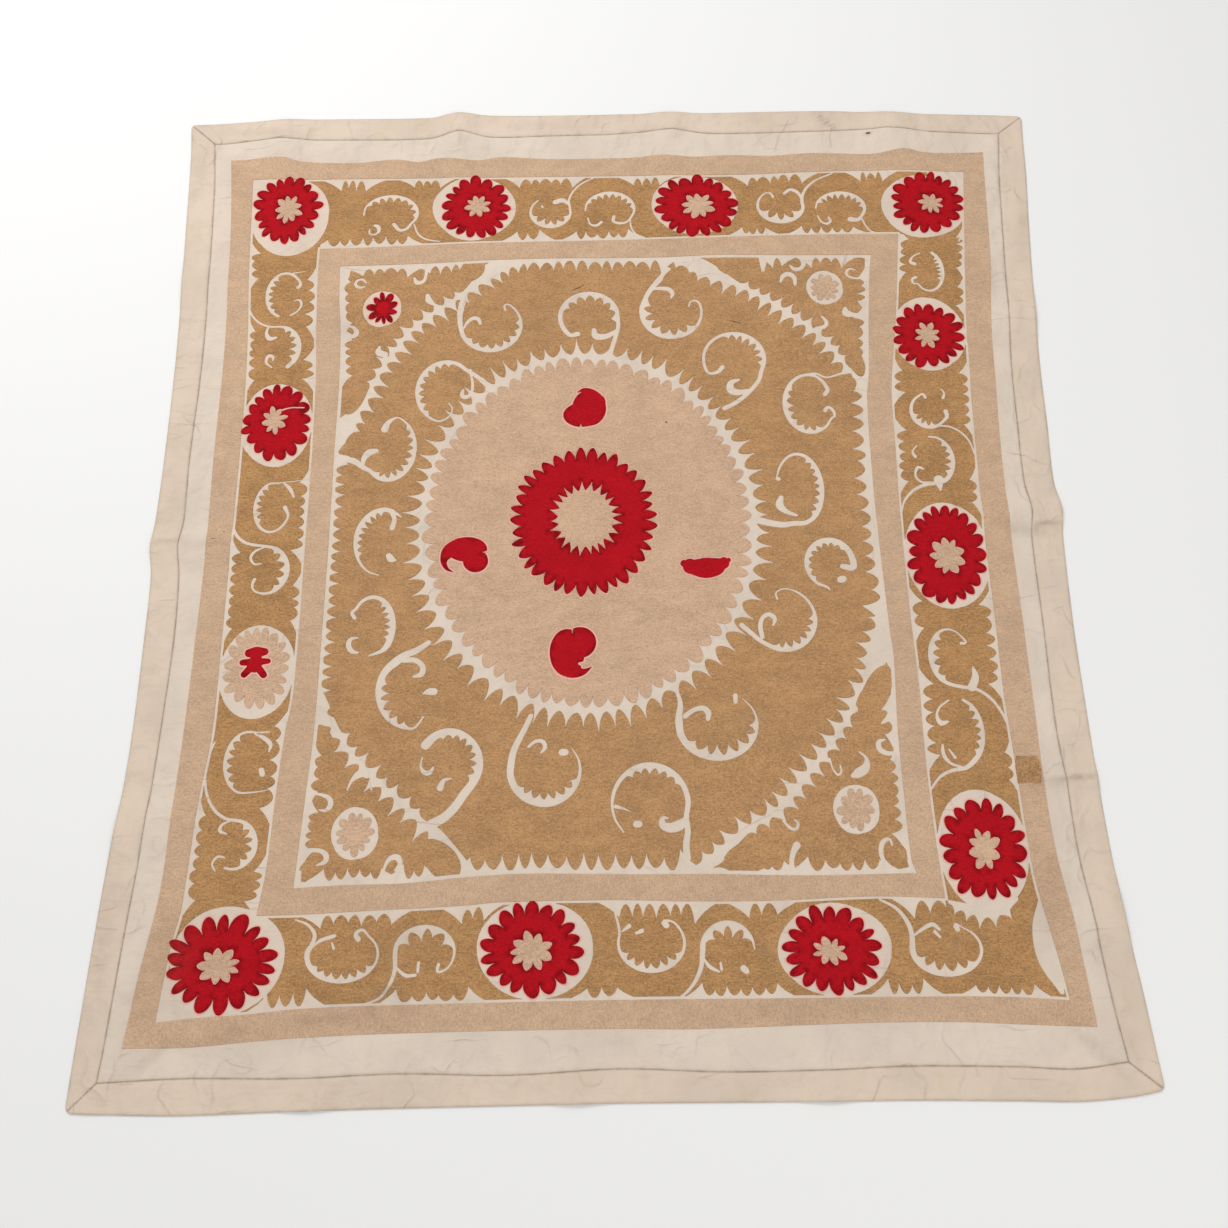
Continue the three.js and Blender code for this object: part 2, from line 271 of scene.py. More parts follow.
RESERVES = [Reserve(*row) for row in (
    (-553, 620, 68, 81), (-232, 634, 73, 66), (155, 637, 77, 61), (557, 629, 74, 65),
    (-546, 214, 60, 76), (-543, -205, 58, 75), (541, 373, 63, 71), (531, -28, 68, 90),
    (535, -487, 67, 88), (-550, -626, 81, 74), (-116, -618, 84, 68), (309, -624, 81, 64),
)]
PALE_ROSETTE = Rosette("left_lower", -544, -199, 107, 131, 18, 17)
# The red figure in the pale rosette, in strokes of x, y and width
RED_FIGURE = (
    ((-557, -176, 15), (-546, -175, 20), (-533, -174, 13)), ((-546, -176, 19), (-546, -198, 20)),
    ((-566, -191, 11), (-546, -190, 14), (-527, -189, 10)),
    ((-562, -210, 12), (-553, -200, 13), (-545, -194, 12)),
    ((-532, -211, 12), (-540, -201, 13), (-546, -194, 12)),
)
CORNER_RESERVES = [Reserve(*row) for row in (
    (-383, 431, 33, 36), (372, 465, 32, 34), (-380, -452, 35, 39), (355, -427, 35, 37),
)]
CORNER_ROSETTE = Rosette("corner_top_left", -381, 431, 57, 66, 10, 15)
PALE_BUTTONS = [Rosette(*row) for row in (
    ("corner_top_right", 372, 465, 53, 56, 10, 11), ("corner_bottom_left", -380, -452, 58, 66, 11, 14),
    ("corner_bottom_right", 355, -427, 58, 62, 10, 12),
)]

# The medallion, the bare oval it rests on with its spikes' heads on it, the red ring, and the
# ring's hole out to the spikes' roots
MEDALLION = Reserve(-37, 32, 263, 303)
MEDALLION_REST = Reserve(-37, 32, 268, 308)
RED_RING = Reserve(-43, 38, 119, 130)
RED_RING_HOLE = Reserve(-41, 42, 43, 48)
# Each red leaf is a few ovals (x, y, rx, ry) and tapering horns (x, y, width), less its nicks
LEAVES = [Leaf(*row) for row in (
    ("top", ((-46, 226, 30, 22), (-33, 239, 28, 33)),
     (((-20, 250, 30), (-30, 264, 22), (-42, 272, 9), (-52, 268, 2)),),
     (((-47, 200, 7), (-47, 209, 1)),)),
    ("left", ((-228, -9, 32, 21), (-214, -29, 20, 19)),
     (((-238, -4, 30), (-256, -12, 24), (-264, -28, 12), (-259, -41, 7), (-249, -47, 2)),),
     (((-194, -14, 7), (-203, -14, 1)),)),
    ("bottom", ((-70, -181, 27, 38), (-50, -165, 25, 25)),
     (((-76, -200, 30), (-62, -210, 25), (-46, -212, 12), (-33, -205, 2)),),
     (((-62, -136, 7), (-62, -150, 1)), ((-24, -196, 9), (-40, -200, 12), (-51, -199, 5)))),
    ("right", ((124, -42, 12, 13), (150, -46, 28, 15), (177, -37, 9, 10)),
     (((114, -37, 12), (128, -43, 26), (150, -45, 35), (170, -40, 25), (185, -32, 8)),), ()),
)]

# The white scrolls left bare in the ring, and those of the border. Each is an oval arc with
# spikes on its inside (from, to, how many, depth), a head and a tail. Its widths are those of
# the head's end, the arc's start, middle and end, and the tail's end.
RING_SCROLLS = [Scroll(*row) for row in (
    (-198, 398, 51, 49, 55, -230, (15, -150, 8, 9), (5, 4, 8, 9, 13),
     ((-174, 427), (-176, 436)), ((-251, 415), (-249, 432), (-246, 446))),
    (-32, 412, 49, 46, 230, -235, (165, -15, 7, 10), (11, 9, 9, 8, 9),
     ((-52, 379),), ((17, 392), (12, 372), (7, 355), (3, 340))),
    (108, 421, 51, 50, 15, -225, (-35, -215, 7, 12), (4, 5, 9, 9, 13),
     ((138, 431), (141, 440), (150, 442)), ((72, 462), (84, 478), (94, 490), (104, 504))),
    (210, 328, 51, 49, 212, -242, (110, -20, 7, 11), (9, 6, 7, 8, 9),
     ((190, 313), (182, 304)), ((250, 288), (238, 272), (222, 256), (206, 244), (190, 236))),
    (-270, 272, 48, 56, -105, -210, (-125, -285, 9, 9), (3, 5, 8, 8, 10),
     ((-265, 251), (-259, 242), (-261, 230), (-270, 221)),
     ((-222, 302), (-207, 288), (-194, 274), (-183, 266))),
    (-359, 170, 42, 57, 75, -210, (50, -130, 10, 9), (14, 4, 8, 8, 16),
     ((-368, 204), (-363, 216)), ((-400, 136), (-413, 146), (-428, 151), (-448, 154))),
    (-362, 5, 43, 56, -95, -200, (-150, -275, 8, 9), (3, 3, 8, 9, 2), (), ((-345, 56), (-333, 47))),
    (-372, -135, 33, 48, 145, -185, (70, -30, 6, 9), (7, 6, 9, 11, 3),
     ((-399, -121), (-404, -112)), ((-355, -175), (-374, -182))),
    (-303, -240, 54, 57, -90, -150, (-95, -205, 6, 10), (4, 5, 8, 15, 9),
     ((-287, -279), (-294, -290)), ((-316, -181), (-300, -174), (-283, -162))),
    (-245, -350, 45, 48, 145, -185, (115, -40, 8, 8), (16, 16, 8, 14, 16),
     (), ((-222, -396), (-235, -415), (-250, -430), (-270, -441))),
    (-103, -362, 52, 50, 40, -235, (-15, -150, 7, 9), (2, 2, 12, 12, 9),
     (), ((-150, -333), (-142, -315), (-133, -298), (-125, -280))),
    (52, -415, 56, 58, 225, -245, (130, 30, 6, 7), (2, 3, 10, 9, 12),
     (), ((106, -455), (103, -475), (104, -494))),
    (157, -296, 59, 52, 50, -235, (10, -150, 7, 12), (2, 2, 9, 13, 5),
     (), ((99, -280), (101, -266), (99, -252), (93, -240))),
    (266, -131, 49, 50, 85, -210, (10, -115, 7, 10), (4, 3, 8, 8, 9),
     ((258, -98), (256, -88)), ((226, -164), (213, -152), (200, -140))),
    (344, -40, 37, 40, -10, 270, (40, 230, 9, 7), (10, 12, 9, 5, 3), ((364, -45),), ((341, -84),)),
    (304, 90, 37, 61, 165, -245, (75, -60, 8, 9), (10, 4, 8, 9, 14),
     ((271, 107),), ((292, 29), (275, 27), (255, 30), (233, 36))),
    (331, 243, 41, 53, 65, 265, (130, 300, 8, 9), (9, 6, 9, 5, 8),
     ((358, 260), (363, 269)), ((371, 219), (369, 230), (361, 236), (356, 230))),
)]
BORDER_SCROLLS = [Scroll(*row) for row in (
    (-378, 625, 47, 36, 185, -225, (160, -20, 8, 8), (4, 4, 6, 6, 8),
     (), ((-350, 592), (-361, 590), (-371, 602))),
    (-98, 625, 35, 31, 130, 245, (190, 350, 5, 10), (4, 4, 8, 5, 4), (),
     ((-66, 648), (-58, 668), (-43, 684), (-20, 697))),
    (6, 630, 43, 34, 185, -215, (165, -5, 8, 8), (4, 4, 7, 5, 7),
     (), ((36, 603), (24, 600), (12, 604), (13, 614))),
    (306, 634, 40, 34, 130, 245, (195, 345, 4, 13), (6, 4, 9, 7, 4),
     ((294, 652), (290, 660)), ((347, 657), (357, 674), (374, 688), (402, 701))),
    (411, 628, 43, 32, 180, -215, (165, -5, 8, 10), (4, 4, 7, 7, 12), (), ((440, 603), (427, 604))),
    (-388, -622, 50, 36, 45, -230, (-20, -160, 7, 8), (9, 4, 6, 9, 3),
     ((-367, -601), (-371, -594), (-362, -588)), ((-432, -608), (-429, -594), (-440, -580), (-458, -573))),
    (-272, -620, 42, 35, -40, 225, (5, 165, 4, 13), (6, 4, 6, 8, 3),
     ((-252, -637), (-253, -647)), ((-313, -642), (-320, -664), (-335, -682), (-372, -693))),
    (49, -612, 47, 38, 50, -230, (-15, -165, 7, 9), (10, 4, 7, 5, 4),
     ((71, -588), (66, -583)), ((4, -596), (0, -577), (-5, -558))),
    (158, -622, 37, 36, 0, 185, (15, 165, 4, 13), (3, 3, 9, 9, 4),
     (), ((119, -643), (111, -662), (98, -678), (82, -690))),
    (468, -626, 49, 34, 60, -235, (-25, -165, 5, 10), (9, 3, 8, 10, 4),
     ((486, -599), (482, -592)), ((420, -608), (416, -590), (402, -570), (378, -556))),
    (-551, 461, 30, 43, 30, 225, (110, 240, 6, 8), (8, 6, 6, 6, 3), ((-529, 476),), ()),
    (-552, 358, 33, 41, -60, 150, (-40, 85, 5, 10), (9, 9, 9, 5, 4),
     (), ((-570, 399), (-588, 406), (-602, 420), (-613, 444))),
    (-541, 67, 28, 43, -20, -260, (-130, -255, 6, 8), (8, 5, 6, 4, 2), ((-521, 67),), ((-520, 111),
     (-498, 114))),
    (-542, -40, 33, 39, 240, 210, (285, 440, 5, 9), (6, 4, 9, 6, 6),
     ((-559, -55), (-562, -64)), ((-558, 1), (-576, 5), (-590, 15), (-602, 34))),
    (-548, -345, 31, 46, -80, -185, (-115, -250, 6, 8), (2, 4, 6, 5, 3),
     ((-506, -385), (-526, -389)), ((-534, -300), (-516, -299))),
    (-555, -466, 31, 35, 250, 195, (290, 430, 5, 9), (3, 4, 9, 6, 4),
     (), ((-570, -428), (-587, -416), (-600, -395), (-606, -368), (-605, -340), (-597, -314))),
    (552, 497, 26, 40, 65, -205, (50, -40, 6, 8), (5, 7, 7, 4, 7),
     (), ((525, 472), (524, 481), (530, 484))),
    (527, 228, 29, 31, 115, 205, (190, 290, 4, 9), (6, 5, 8, 6, 9), ((524, 252), (520, 259)), ((556, 216),
     (555, 226))),
    (525, 138, 33, 42, 95, -155, (60, -45, 5, 8), (3, 4, 7, 9, 4),
     (), ((528, 97), (508, 94), (488, 84), (472, 66), (465, 46))),
    (518, -195, 30, 44, 60, 200, (110, 250, 5, 8), (6, 3, 9, 7, 5),
     ((537, -174), (545, -173)), ((530, -243), (552, -247), (571, -260), (585, -280), (595, -306))),
    (522, -312, 33, 50, 75, -135, (60, -50, 6, 8), (4, 6, 6, 9, 4),
     (), ((524, -367), (503, -371), (484, -380), (467, -400))),
)]

# The smaller bare strokes: hooks, commas, dots and thin lines. Columns: x, y, width
RING_STROKES = (
    ((-244, 392, 4), (-238, 403, 6), (-229, 411, 8), (-220, 410, 8), (-216, 401, 6)),
    ((14, 384, 8), (-4, 374, 11), (-21, 375, 13), (-24, 387, 8)),
    ((76, 466, 6), (92, 467, 8), (106, 464, 9), (111, 456, 8), (108, 448, 4)),
    ((234, 268, 8), (215, 265, 12), (202, 270, 14), (203, 283, 11), (216, 289, 5)),
    ((-231, 312, 6), (-227, 292, 5), (-227, 274, 6), (-234, 262, 8), (-243, 264, 9), (-242, 275, 5)),
    ((-401, 138, 6), (-399, 152, 10), (-391, 162, 13), (-380, 165, 9)),
    ((-350, 57, 8), (-345, 44, 8), (-348, 29, 9)), ((-351, -18, 10), (-347, -24, 12), (-340, -26, 4)),
    ((-392, -153, 3), (-403, -155, 7), (-406, -165, 9), (-400, -175, 8), (-391, -177, 4)),
    ((-320, -190, 9), (-303, -190, 9), (-291, -200, 9), (-292, -212, 10), (-304, -216, 5)),
    ((-289, -243, 3), (-280, -240, 11), (-272, -240, 12)),
    ((-286, -341, 3), (-288, -354, 4), (-282, -364, 8), (-274, -364, 8), (-269, -356, 4)),
    ((-242, -373, 3), (-253, -376, 7), (-258, -387, 11)), ((-78, -336, 11), (-73, -336, 11)),
    ((-128, -327, 5), (-118, -319, 6), (-107, -319, 7), (-103, -328, 7), (-109, -336, 4)),
    ((104, -437, 8), (95, -446, 16), (81, -450, 15), (70, -446, 12), (70, -436, 8), (78, -436, 3)),
    ((1, -418, 7), (12, -421, 4), (24, -426, 1)), ((31, -444, 11), (35, -444, 11)),
    ((108, -283, 9), (121, -274, 8), (135, -271, 9), (143, -278, 10), (142, -288, 7)),
    ((185, -252, 8), (185, -262, 7)), ((359, -67, 12), (363, -66, 12)),
    ((231, -160, 8), (229, -142, 8), (233, -129, 7), (243, -123, 8), (252, -130, 8), (249, -141, 4)),
    ((297, 43, 5), (281, 50, 9), (271, 61, 14), (274, 74, 9)),
    ((328, 297, 4), (345, 298, 5), (362, 291, 4), (382, 296, 5), (404, 303, 9)),
)
SPRAY_STROKES = (
    ((-413, 483, 3), (-419, 490, 5), (-429, 488, 5), (-431, 479, 6), (-423, 474, 6), (-415, 476, 3)),
    ((-312, 522, 9), (-311, 500, 6), (-315, 485, 7), (-326, 482, 9), (-331, 492, 4)),
    ((-295, 438, 6), (-304, 446, 12), (-307, 456, 8)), ((-374, 342, 12), (-385, 347, 13), (-384, 358, 4)),
    ((-453, 395, 8), (-438, 398, 5), (-428, 394, 7), (-424, 384, 10), (-431, 378, 9), (-438, 385, 4)),
    ((337, 530, 14), (339, 513, 9), (333, 504, 8), (322, 503, 8), (315, 511, 3)),
    ((297, 477, 4), (302, 489, 9), (312, 493, 10), (321, 486, 9), (322, 472, 6)),
    ((447, 486, 6), (430, 483, 5), (415, 487, 5), (411, 495, 6), (417, 502, 5), (429, 500, 2)),
    ((434, 414, 4), (418, 411, 8), (405, 415, 15), (404, 424, 7)),
    ((352, 384, 8), (366, 388, 8), (370, 397, 7), (363, 408, 4)),
    ((269, 532, 16), (269, 515, 12), (268, 501, 7)),
    ((-453, -392, 5), (-435, -394, 5), (-421, -400, 8), (-418, -410, 9), (-425, -418, 6), (-434, -417, 3)),
    ((-452, -476, 8), (-430, -476, 7), (-420, -483, 9), (-421, -492, 8), (-433, -497, 3)),
    ((-337, -518, 6), (-334, -500, 5), (-327, -489, 8), (-317, -487, 10), (-312, -496, 8), (-319, -506, 4)),
    ((-366, -365, 14), (-378, -363, 10), (-388, -373, 6), (-395, -388, 3)),
    ((-358, -370, 8), (-361, -380, 6), (-359, -389, 3)),
    ((426, -343, 6), (408, -344, 8), (397, -337, 9), (397, -326, 8), (407, -323, 3)),
    ((366, -341, 3), (376, -351, 6), (374, -365, 14), (361, -374, 15), (354, -377, 8)),
    ((321, -351, 4), (325, -367, 3), (332, -376, 5), (337, -371, 4), (336, -361, 3)),
    ((420, -524, 12), (400, -513, 7), (388, -500, 7), (386, -485, 8), (391, -474, 8), (400, -471, 5),
     (403, -480, 3)),
    ((256, -522, 12), (255, -502, 8), (258, -489, 9), (264, -478, 12)),
    ((246, -442, 4), (256, -453, 5), (264, -455, 6), (268, -446, 5), (263, -441, 3)),
    ((-445, 494, 4), (-446, 514, 16), (-424, 519, 5)), ((430, 529, 5), (452, 527, 16), (446, 505, 5)),
    ((-456, -506, 5), (-459, -526, 16), (-434, -522, 4)), ((425, -502, 5), (431, -516, 16), (406, -517, 5)),
    ((420, -176, 20), (427, -214, 11), (425, -252, 8), (418, -286, 12), (404, -298, 4)),
    ((112, -518, 10), (150, -514, 13), (166, -517, 6)),
)
BORDER_STROKES = (
    ((-336, 602, 3), (-329, 583, 4), (-315, 571, 4), (-290, 566, 3)),
    ((-413, 592, 3), (-413, 584, 4), (-405, 581, 5), (-397, 587, 6), (-399, 598, 8), (-405, 600, 5)),
    ((-65, 640, 5), (-77, 649, 10), (-90, 645, 10)), ((-114, 639, 3), (-112, 635, 5)),
    ((41, 606, 3), (43, 591, 4), (50, 578, 4), (66, 570, 3)),
    ((-33, 612, 3), (-28, 598, 4), (-17, 596, 6), (-9, 603, 6)),
    ((345, 646, 4), (338, 661, 7), (325, 667, 7), (314, 659, 6)),
    ((447, 606, 4), (453, 590, 4), (462, 578, 4), (484, 572, 3)),
    ((370, 612, 3), (376, 599, 4), (386, 595, 6), (392, 601, 6), (389, 609, 4)),
    ((-432, -611, 4), (-420, -602, 6), (-401, -596, 6)), ((-404, -605, 3), (-401, -613, 5)),
    ((-312, -640, 4), (-298, -651, 6), (-284, -651, 5)), ((-281, -647, 5), (-280, -634, 5)),
    ((28, -598, 5), (36, -595, 7)), ((7, -596, 3), (18, -588, 7)),
    ((121, -632, 3), (130, -645, 6), (143, -652, 4)),
    ((147, -649, 5), (146, -640, 4)), ((178, -648, 10), (182, -652, 9)),
    ((424, -606, 4), (438, -597, 6), (451, -592, 7), (460, -599, 5)), ((453, -602, 6), (460, -610, 4)),
    ((-538, 421, 4), (-526, 430, 4), (-521, 442, 5), (-525, 451, 5), (-534, 449, 3)),
    ((-545, 503, 4), (-518, 508, 2)),
    ((-573, 400, 4), (-576, 387, 6), (-570, 376, 9), (-559, 378, 5)),
    ((-562, 321, 3), (-572, 331, 5), (-569, 343, 7), (-561, 341, 6), (-561, 334, 3)),
    ((-526, 110, 4), (-515, 99, 7), (-508, 85, 4)),
    ((-547, -2, 3), (-562, -9, 5), (-568, -20, 5), (-561, -30, 4), (-551, -29, 3)),
    ((-538, -302, 3), (-523, -309, 7), (-513, -319, 7), (-515, -329, 3)),
    ((-524, -357, 9), (-522, -363, 9)),
    ((-560, -430, 3), (-575, -437, 5), (-577, -446, 6), (-567, -450, 3)),
    ((-579, -503, 3), (-584, -493, 4), (-577, -483, 5), (-567, -484, 3)),
    ((542, 533, 3), (529, 526, 4), (524, 515, 7), (531, 511, 7)),
    ((551, 267, 3), (556, 260, 4), (553, 251, 6)),
    ((538, 200, 4), (560, 197, 4), (578, 185, 4), (589, 168, 4), (595, 142, 3)),
    ((517, 97, 6), (502, 99, 5), (494, 110, 4), (499, 125, 6), (508, 122, 4)),
    ((501, 164, 3), (493, 153, 4), (497, 144, 6)),
    ((531, 102, 18), (532, 84, 4)), ((546, -244, 14), (553, -228, 12), (551, -212, 4)),
    ((508, -264, 4), (494, -274, 4), (488, -287, 5), (493, -299, 9), (503, -297, 5)),
    ((518, -367, 5), (501, -360, 5), (492, -347, 7), (492, -332, 4)), ((501, -339, 3), (509, -352, 5)),
    ((607, -560, 3), (604, -600, 24), (611, -642, 32), (623, -686, 8)),
    ((632, 612, 10), (626, 580, 14), (612, 556, 3)),
)
# The bare bay with five lobes that opens below the lowest rosette on the right
LOBED_BAY = ((478, -561, 5), (500, -569, 12), (525, -575, 16), (550, -573, 14), (574, -558, 8))
# Round ends of the corner sprays and of the ring's side leaves, worked over the gaps
LEAF_ENDS = [Oval(*row) for row in (
    (-234, 505, 27, 19, 50), (-424, 268, 37, 21, 78), (227, 506, 38, 19, -8), (415, 318, 27, 13, 104),
    (-434, -314, 26, 13, -72), (-254, -491, 36, 22, -48), (192, -494, 36, 22, 12), (397, -253, 50, 19, 62),
    (-413, 177, 24, 18, 70), (117, 491, 26, 15, 34), (388, 279, 24, 16, 4), (-420, -270, 12, 8, 0),
)]

# White notches along the frames' edges: the line, from, to, how many, how deep they bite
# into the khaki work, and the bare line left between their lobes and the frame
BORDER_NOTCHES = [Notches(*row) for row in (
    ("outer_top", -468, -424, 3, 28), ("outer_top", -339, -294, 3, 21), ("outer_top", -152, -60, 5, 18),
    ("outer_top", 48, 94, 3, 22), ("outer_top", 250, 346, 5, 23), ("outer_top", 450, 490, 3, 21),
    ("inner_top", -484, -345, 7, 21), ("inner_top", -154, -118, 2, 20), ("inner_top", -54, 38, 5, 20),
    ("inner_top", 236, 276, 3, 17), ("inner_top", 342, 428, 5, 18),
    ("outer_left", 494, 545, 3, 15), ("outer_left", 300, 392, 5, 14), ("outer_left", -134, -12, 7, 15),
    ("outer_left", -542, -425, 6, 16), ("inner_left", 402, 490, 4, 20), ("inner_left", 300, 334, 2, 18),
    ("inner_left", -8, 108, 6, 17), ("inner_left", -122, -68, 3, 15), ("inner_left", -412, -290, 5, 18),
    ("inner_left", -546, -504, 3, 18),
    ("outer_right", 502, 566, 4, 16), ("outer_right", 430, 462, 2, 14), ("outer_right", 200, 294, 5, 16),
    ("outer_right", 62, 102, 2, 18), ("outer_right", -240, -112, 6, 18), ("outer_right", -386, -345, 2, 12),
    ("inner_right", 494, 560, 4, 15), ("inner_right", 264, 300, 2, 18), ("inner_right", 100, 190, 5, 16),
    ("inner_right", -150, -106, 2, 16), ("inner_right", -350, -238, 5, 18),
    ("inner_bottom", -424, -320, 5, 21), ("inner_bottom", -222, -188, 2, 21),
    ("inner_bottom", 2, 112, 6, 24),
    ("inner_bottom", 192, 228, 2, 23), ("inner_bottom", 428, 546, 5, 25),
    ("outer_bottom", -488, -438, 3, 21), ("outer_bottom", -308, -208, 5, 17),
    ("outer_bottom", -40, 0, 2, 18),
    ("outer_bottom", 120, 224, 6, 17), ("outer_bottom", 380, 430, 3, 20), ("outer_bottom", 506, 584, 5, 15),
)]
FIELD_NOTCHES = [Notches(*row) for row in (
    ("field_top", -176, 92, 13, 25, 4), ("field_left", -272, 142, 22, 21, 3),
    ("field_right", -112, 272, 14, 30, 7),
    ("field_bottom", -214, 92, 13, 29, 4),
    ("field_top", -418, -344, 4, 23, 6), ("field_top", -306, -250, 3, 23, 5),
    ("field_left", 306, 372, 4, 23, 7),
    ("field_left", 404, 484, 4, 18, 7), ("field_top", 284, 302, 1, 21, 4),
    ("field_top", 352, 402, 3, 20, 5),
    ("field_right", 436, 484, 3, 21, 6), ("field_right", 330, 404, 4, 21, 7),
    ("field_left", -388, -334, 3, 18, 6),
    ("field_left", -474, -420, 4, 18, 7), ("field_bottom", -420, -340, 5, 23, 7),
    ("field_bottom", -306, -278, 2, 23, 6), ("field_right", -316, -276, 2, 20, 7),
    ("field_right", -460, -352, 6, 18, 6), ("field_bottom", 196, 244, 3, 17, 6),
    ("field_bottom", 282, 384, 5, 23, 6),
)]
# The jagged white gaps between the ring and the corner sprays. Columns: x, y, width; the teeth
# run along the ring's side from end to end and on the spray's side between the two shares.
FIELD_GAPS = [Gap(*row) for row in (
    ("top_left", "right", (
        (-112, 532, 4), (-150, 525, 14), (-182, 517, 24), (-206, 502, 30), (-227, 480, 14), (-246, 459, 8),
        (-268, 442, 6), (-292, 424, 6), (-317, 402, 6), (-337, 383, 5), (-351, 360, 5), (-366, 337, 6),
        (-380, 312, 5), (-391, 288, 6), (-403, 258, 8), (-418, 236, 16), (-434, 208, 34), (-446, 168, 12),
    ), 0.30, 0.76),
    ("top_right", "left", (
        (84, 535, 4), (116, 529, 16), (150, 516, 30), (184, 497, 26), (213, 480, 12), (238, 465, 6),
        (262, 449, 6), (281, 436, 5), (300, 420, 6), (322, 402, 6), (341, 387, 5), (357, 370, 5),
        (373, 351, 5), (386, 330, 6), (400, 308, 5), (416, 289, 12), (424, 264, 14), (430, 228, 5),
    ), 0.32, 0.80),
    ("bottom_left", "left", (
        (-449, -226, 5), (-440, -258, 18), (-425, -284, 12), (-408, -310, 7), (-396, -330, 5), (-377, -350, 6),
        (-359, -369, 7), (-338, -388, 6), (-317, -405, 6), (-300, -421, 8), (-283, -436, 8), (-262, -452, 14),
        (-242, -470, 10), (-223, -494, 12), (-206, -516, 14),
    ), 0.22, 0.70),
    ("bottom_right", "right", (
        (92, -520, 5), (122, -509, 14), (152, -491, 18), (180, -465, 12), (207, -445, 8), (238, -428, 8),
        (262, -403, 9), (283, -377, 8), (303, -355, 6), (318, -337, 6), (334, -316, 6), (350, -294, 6),
        (361, -274, 6), (372, -250, 6), (388, -230, 10), (405, -196, 32), (417, -158, 28), (427, -112, 12),
        (432, -66, 4),
    ), 0.20, 0.64),
)]
# Work smaller than this, in square millimetres, is left out
SMALLEST_WORK = 40
SPECKS = ((-628, 12, 7, 3), (-613, 25, 4, 3), (473, 787, 9, 4), (93, 211, 4, 4))
STREAKS = (((-63, 463, 1), (-52, 468, 3), (-40, 474, 1)), ((207, 401, 1), (215, 399, 3), (224, 396, 1)))
PATCH = Mend(597, 634, -393, -350)
# The mend's outline, in shares of its width and height
PATCH_OUTLINE = (
    (0, 0), (0.35, 0.02), (0.7, -0.02), (1, 0.04), (1, 0.4), (0.98, 0.8), (0.9, 1), (0.5, 0.97),
    (0.1, 1), (0, 0.6),
)
# The border's corners that stay bare: left, right, bottom, top
BARE_CORNERS = ((-630, -560, 640, 705), (570, 640, 640, 710), (-650, -580, -712, -650))
# The slit left bare across one rosette: the rosette's name and the slit's stroke
ROSETTE_SLIT = ("left_upper", ((-542, 240, 4), (-524, 245, 3), (-503, 245, 3)))
# How deep a stitch's middle lies below the cloth's face, and the short join at the lower left
STITCH_DEPTH = 0.72
SHORT_JOIN = ((-671, -746), (-672, -760), (-672, -778))

# The sheets: mean sizes of the panel between its seams and of the strips, and each sheet's
# flat size in metres
PANEL_WIDTH, PANEL_HEIGHT, STRIP_WIDTH = 1410, 1556, 43
STRIP_LENGTHS = {"bottom": 1500, "top": 1500, "left": 1640, "right": 1640}
STRIP_FLAT_LENGTHS = {"bottom": 1.504, "top": 1.504, "left": 1.642, "right": 1.642}
UPRIGHT = ("left", "right")
# Shares of a strip's width where its mesh lines lie, close together at both edges
STRIP_LINES = (0, 0.02, 0.05, 0.11, 0.24, 0.40, 0.56, 0.72, 0.85, 0.92, 0.96, 0.985, 1.0)

# How far the washed-in red reaches past a rosette, and the room left round its heart
FRINGE, HEART_ROOM, HEART_GROW = 2.4, 2.4, 1

# The photograph's view: degrees round, up and of roll, the spot looked at and the distance in
# metres, the lens and the sensor in millimetres; all from the fit of the cloth's four corners
CAMERA = Camera(-1.50576, 71.61538, 0.73485, (0.00287, -0.11895), 1.80256, 34.0065, 36)
LAMPS = (Lamp("Key", (-1.6, 2.2, 2.6), 1.6, 62), Lamp("Fill", (1.8, -2.2, 3.0), 2.4, 34))
FLOOR_SIZE, FLOOR_DROP, SKY_STRENGTH = 14, 0.0004, 0.62


# Lines and heights worked out from the tables

def smooth_through(rows, column, at):
    """A smooth line through a table's rows, read at one station or at many."""
    stations = np.array([row[0] for row in rows], float)
    values = np.array([row[column] for row in rows], float)
    slopes = np.empty(len(rows))
    slopes[1:-1] = (values[2:] - values[:-2]) / (stations[2:] - stations[:-2])
    for end, inner in ((0, 1), (-1, -2)):
        slopes[end] = (values[inner] - values[end]) / (stations[inner] - stations[end])
    at = np.asarray(at, float)
    row = np.clip(np.searchsorted(stations, at, side="left") - 1, 0, len(rows) - 2)
    span = stations[row + 1] - stations[row]
    t = np.clip((at - stations[row]) / span, 0, 1)
    return (
        (2 * t**3 - 3 * t**2 + 1) * values[row]
        + (t**3 - 2 * t**2 + t) * span * slopes[row]
        + (3 * t**2 - 2 * t**3) * values[row + 1]
        + (t**3 - t**2) * span * slopes[row + 1]
    )


def side_line(corners, side, column, t):
    """Points along one side, from corner to corner, t running from 0 to 1."""
    first, last = (corners[name] for name in SIDE_ENDS[side])
    if side in UPRIGHT:
        at = first.y + (last.y - first.y) * t
        return smooth_through(SIDES[side], column, at), at
    at = first.x + (last.x - first.x) * t
    return at, smooth_through(SIDES[side], column, at)


def hump(distance, width):
    """A soft hump, 1 in the middle and 0 from one half-width out."""
    return np.cos(np.minimum(np.abs(distance) / (width / 2), 1) * np.pi / 2) ** 2


def fading(amount, distance, reach):
    """An amount that fades softly away from an edge."""
    return amount * np.exp(-((distance / reach) ** 2))


def heaped(rows, x, y):
    """The sum of a table's long soft humps at each point."""
    total = np.zeros(np.shape(x))
    for cx, cy, heading, length, breadth, amount in rows:
        turn = math.radians(heading)
        along = (x - cx) * math.cos(turn) + (y - cy) * math.sin(turn)
        across = (y - cy) * math.cos(turn) - (x - cx) * math.sin(turn)
        total = total + amount * hump(along, length) * hump(across, breadth)
    return total


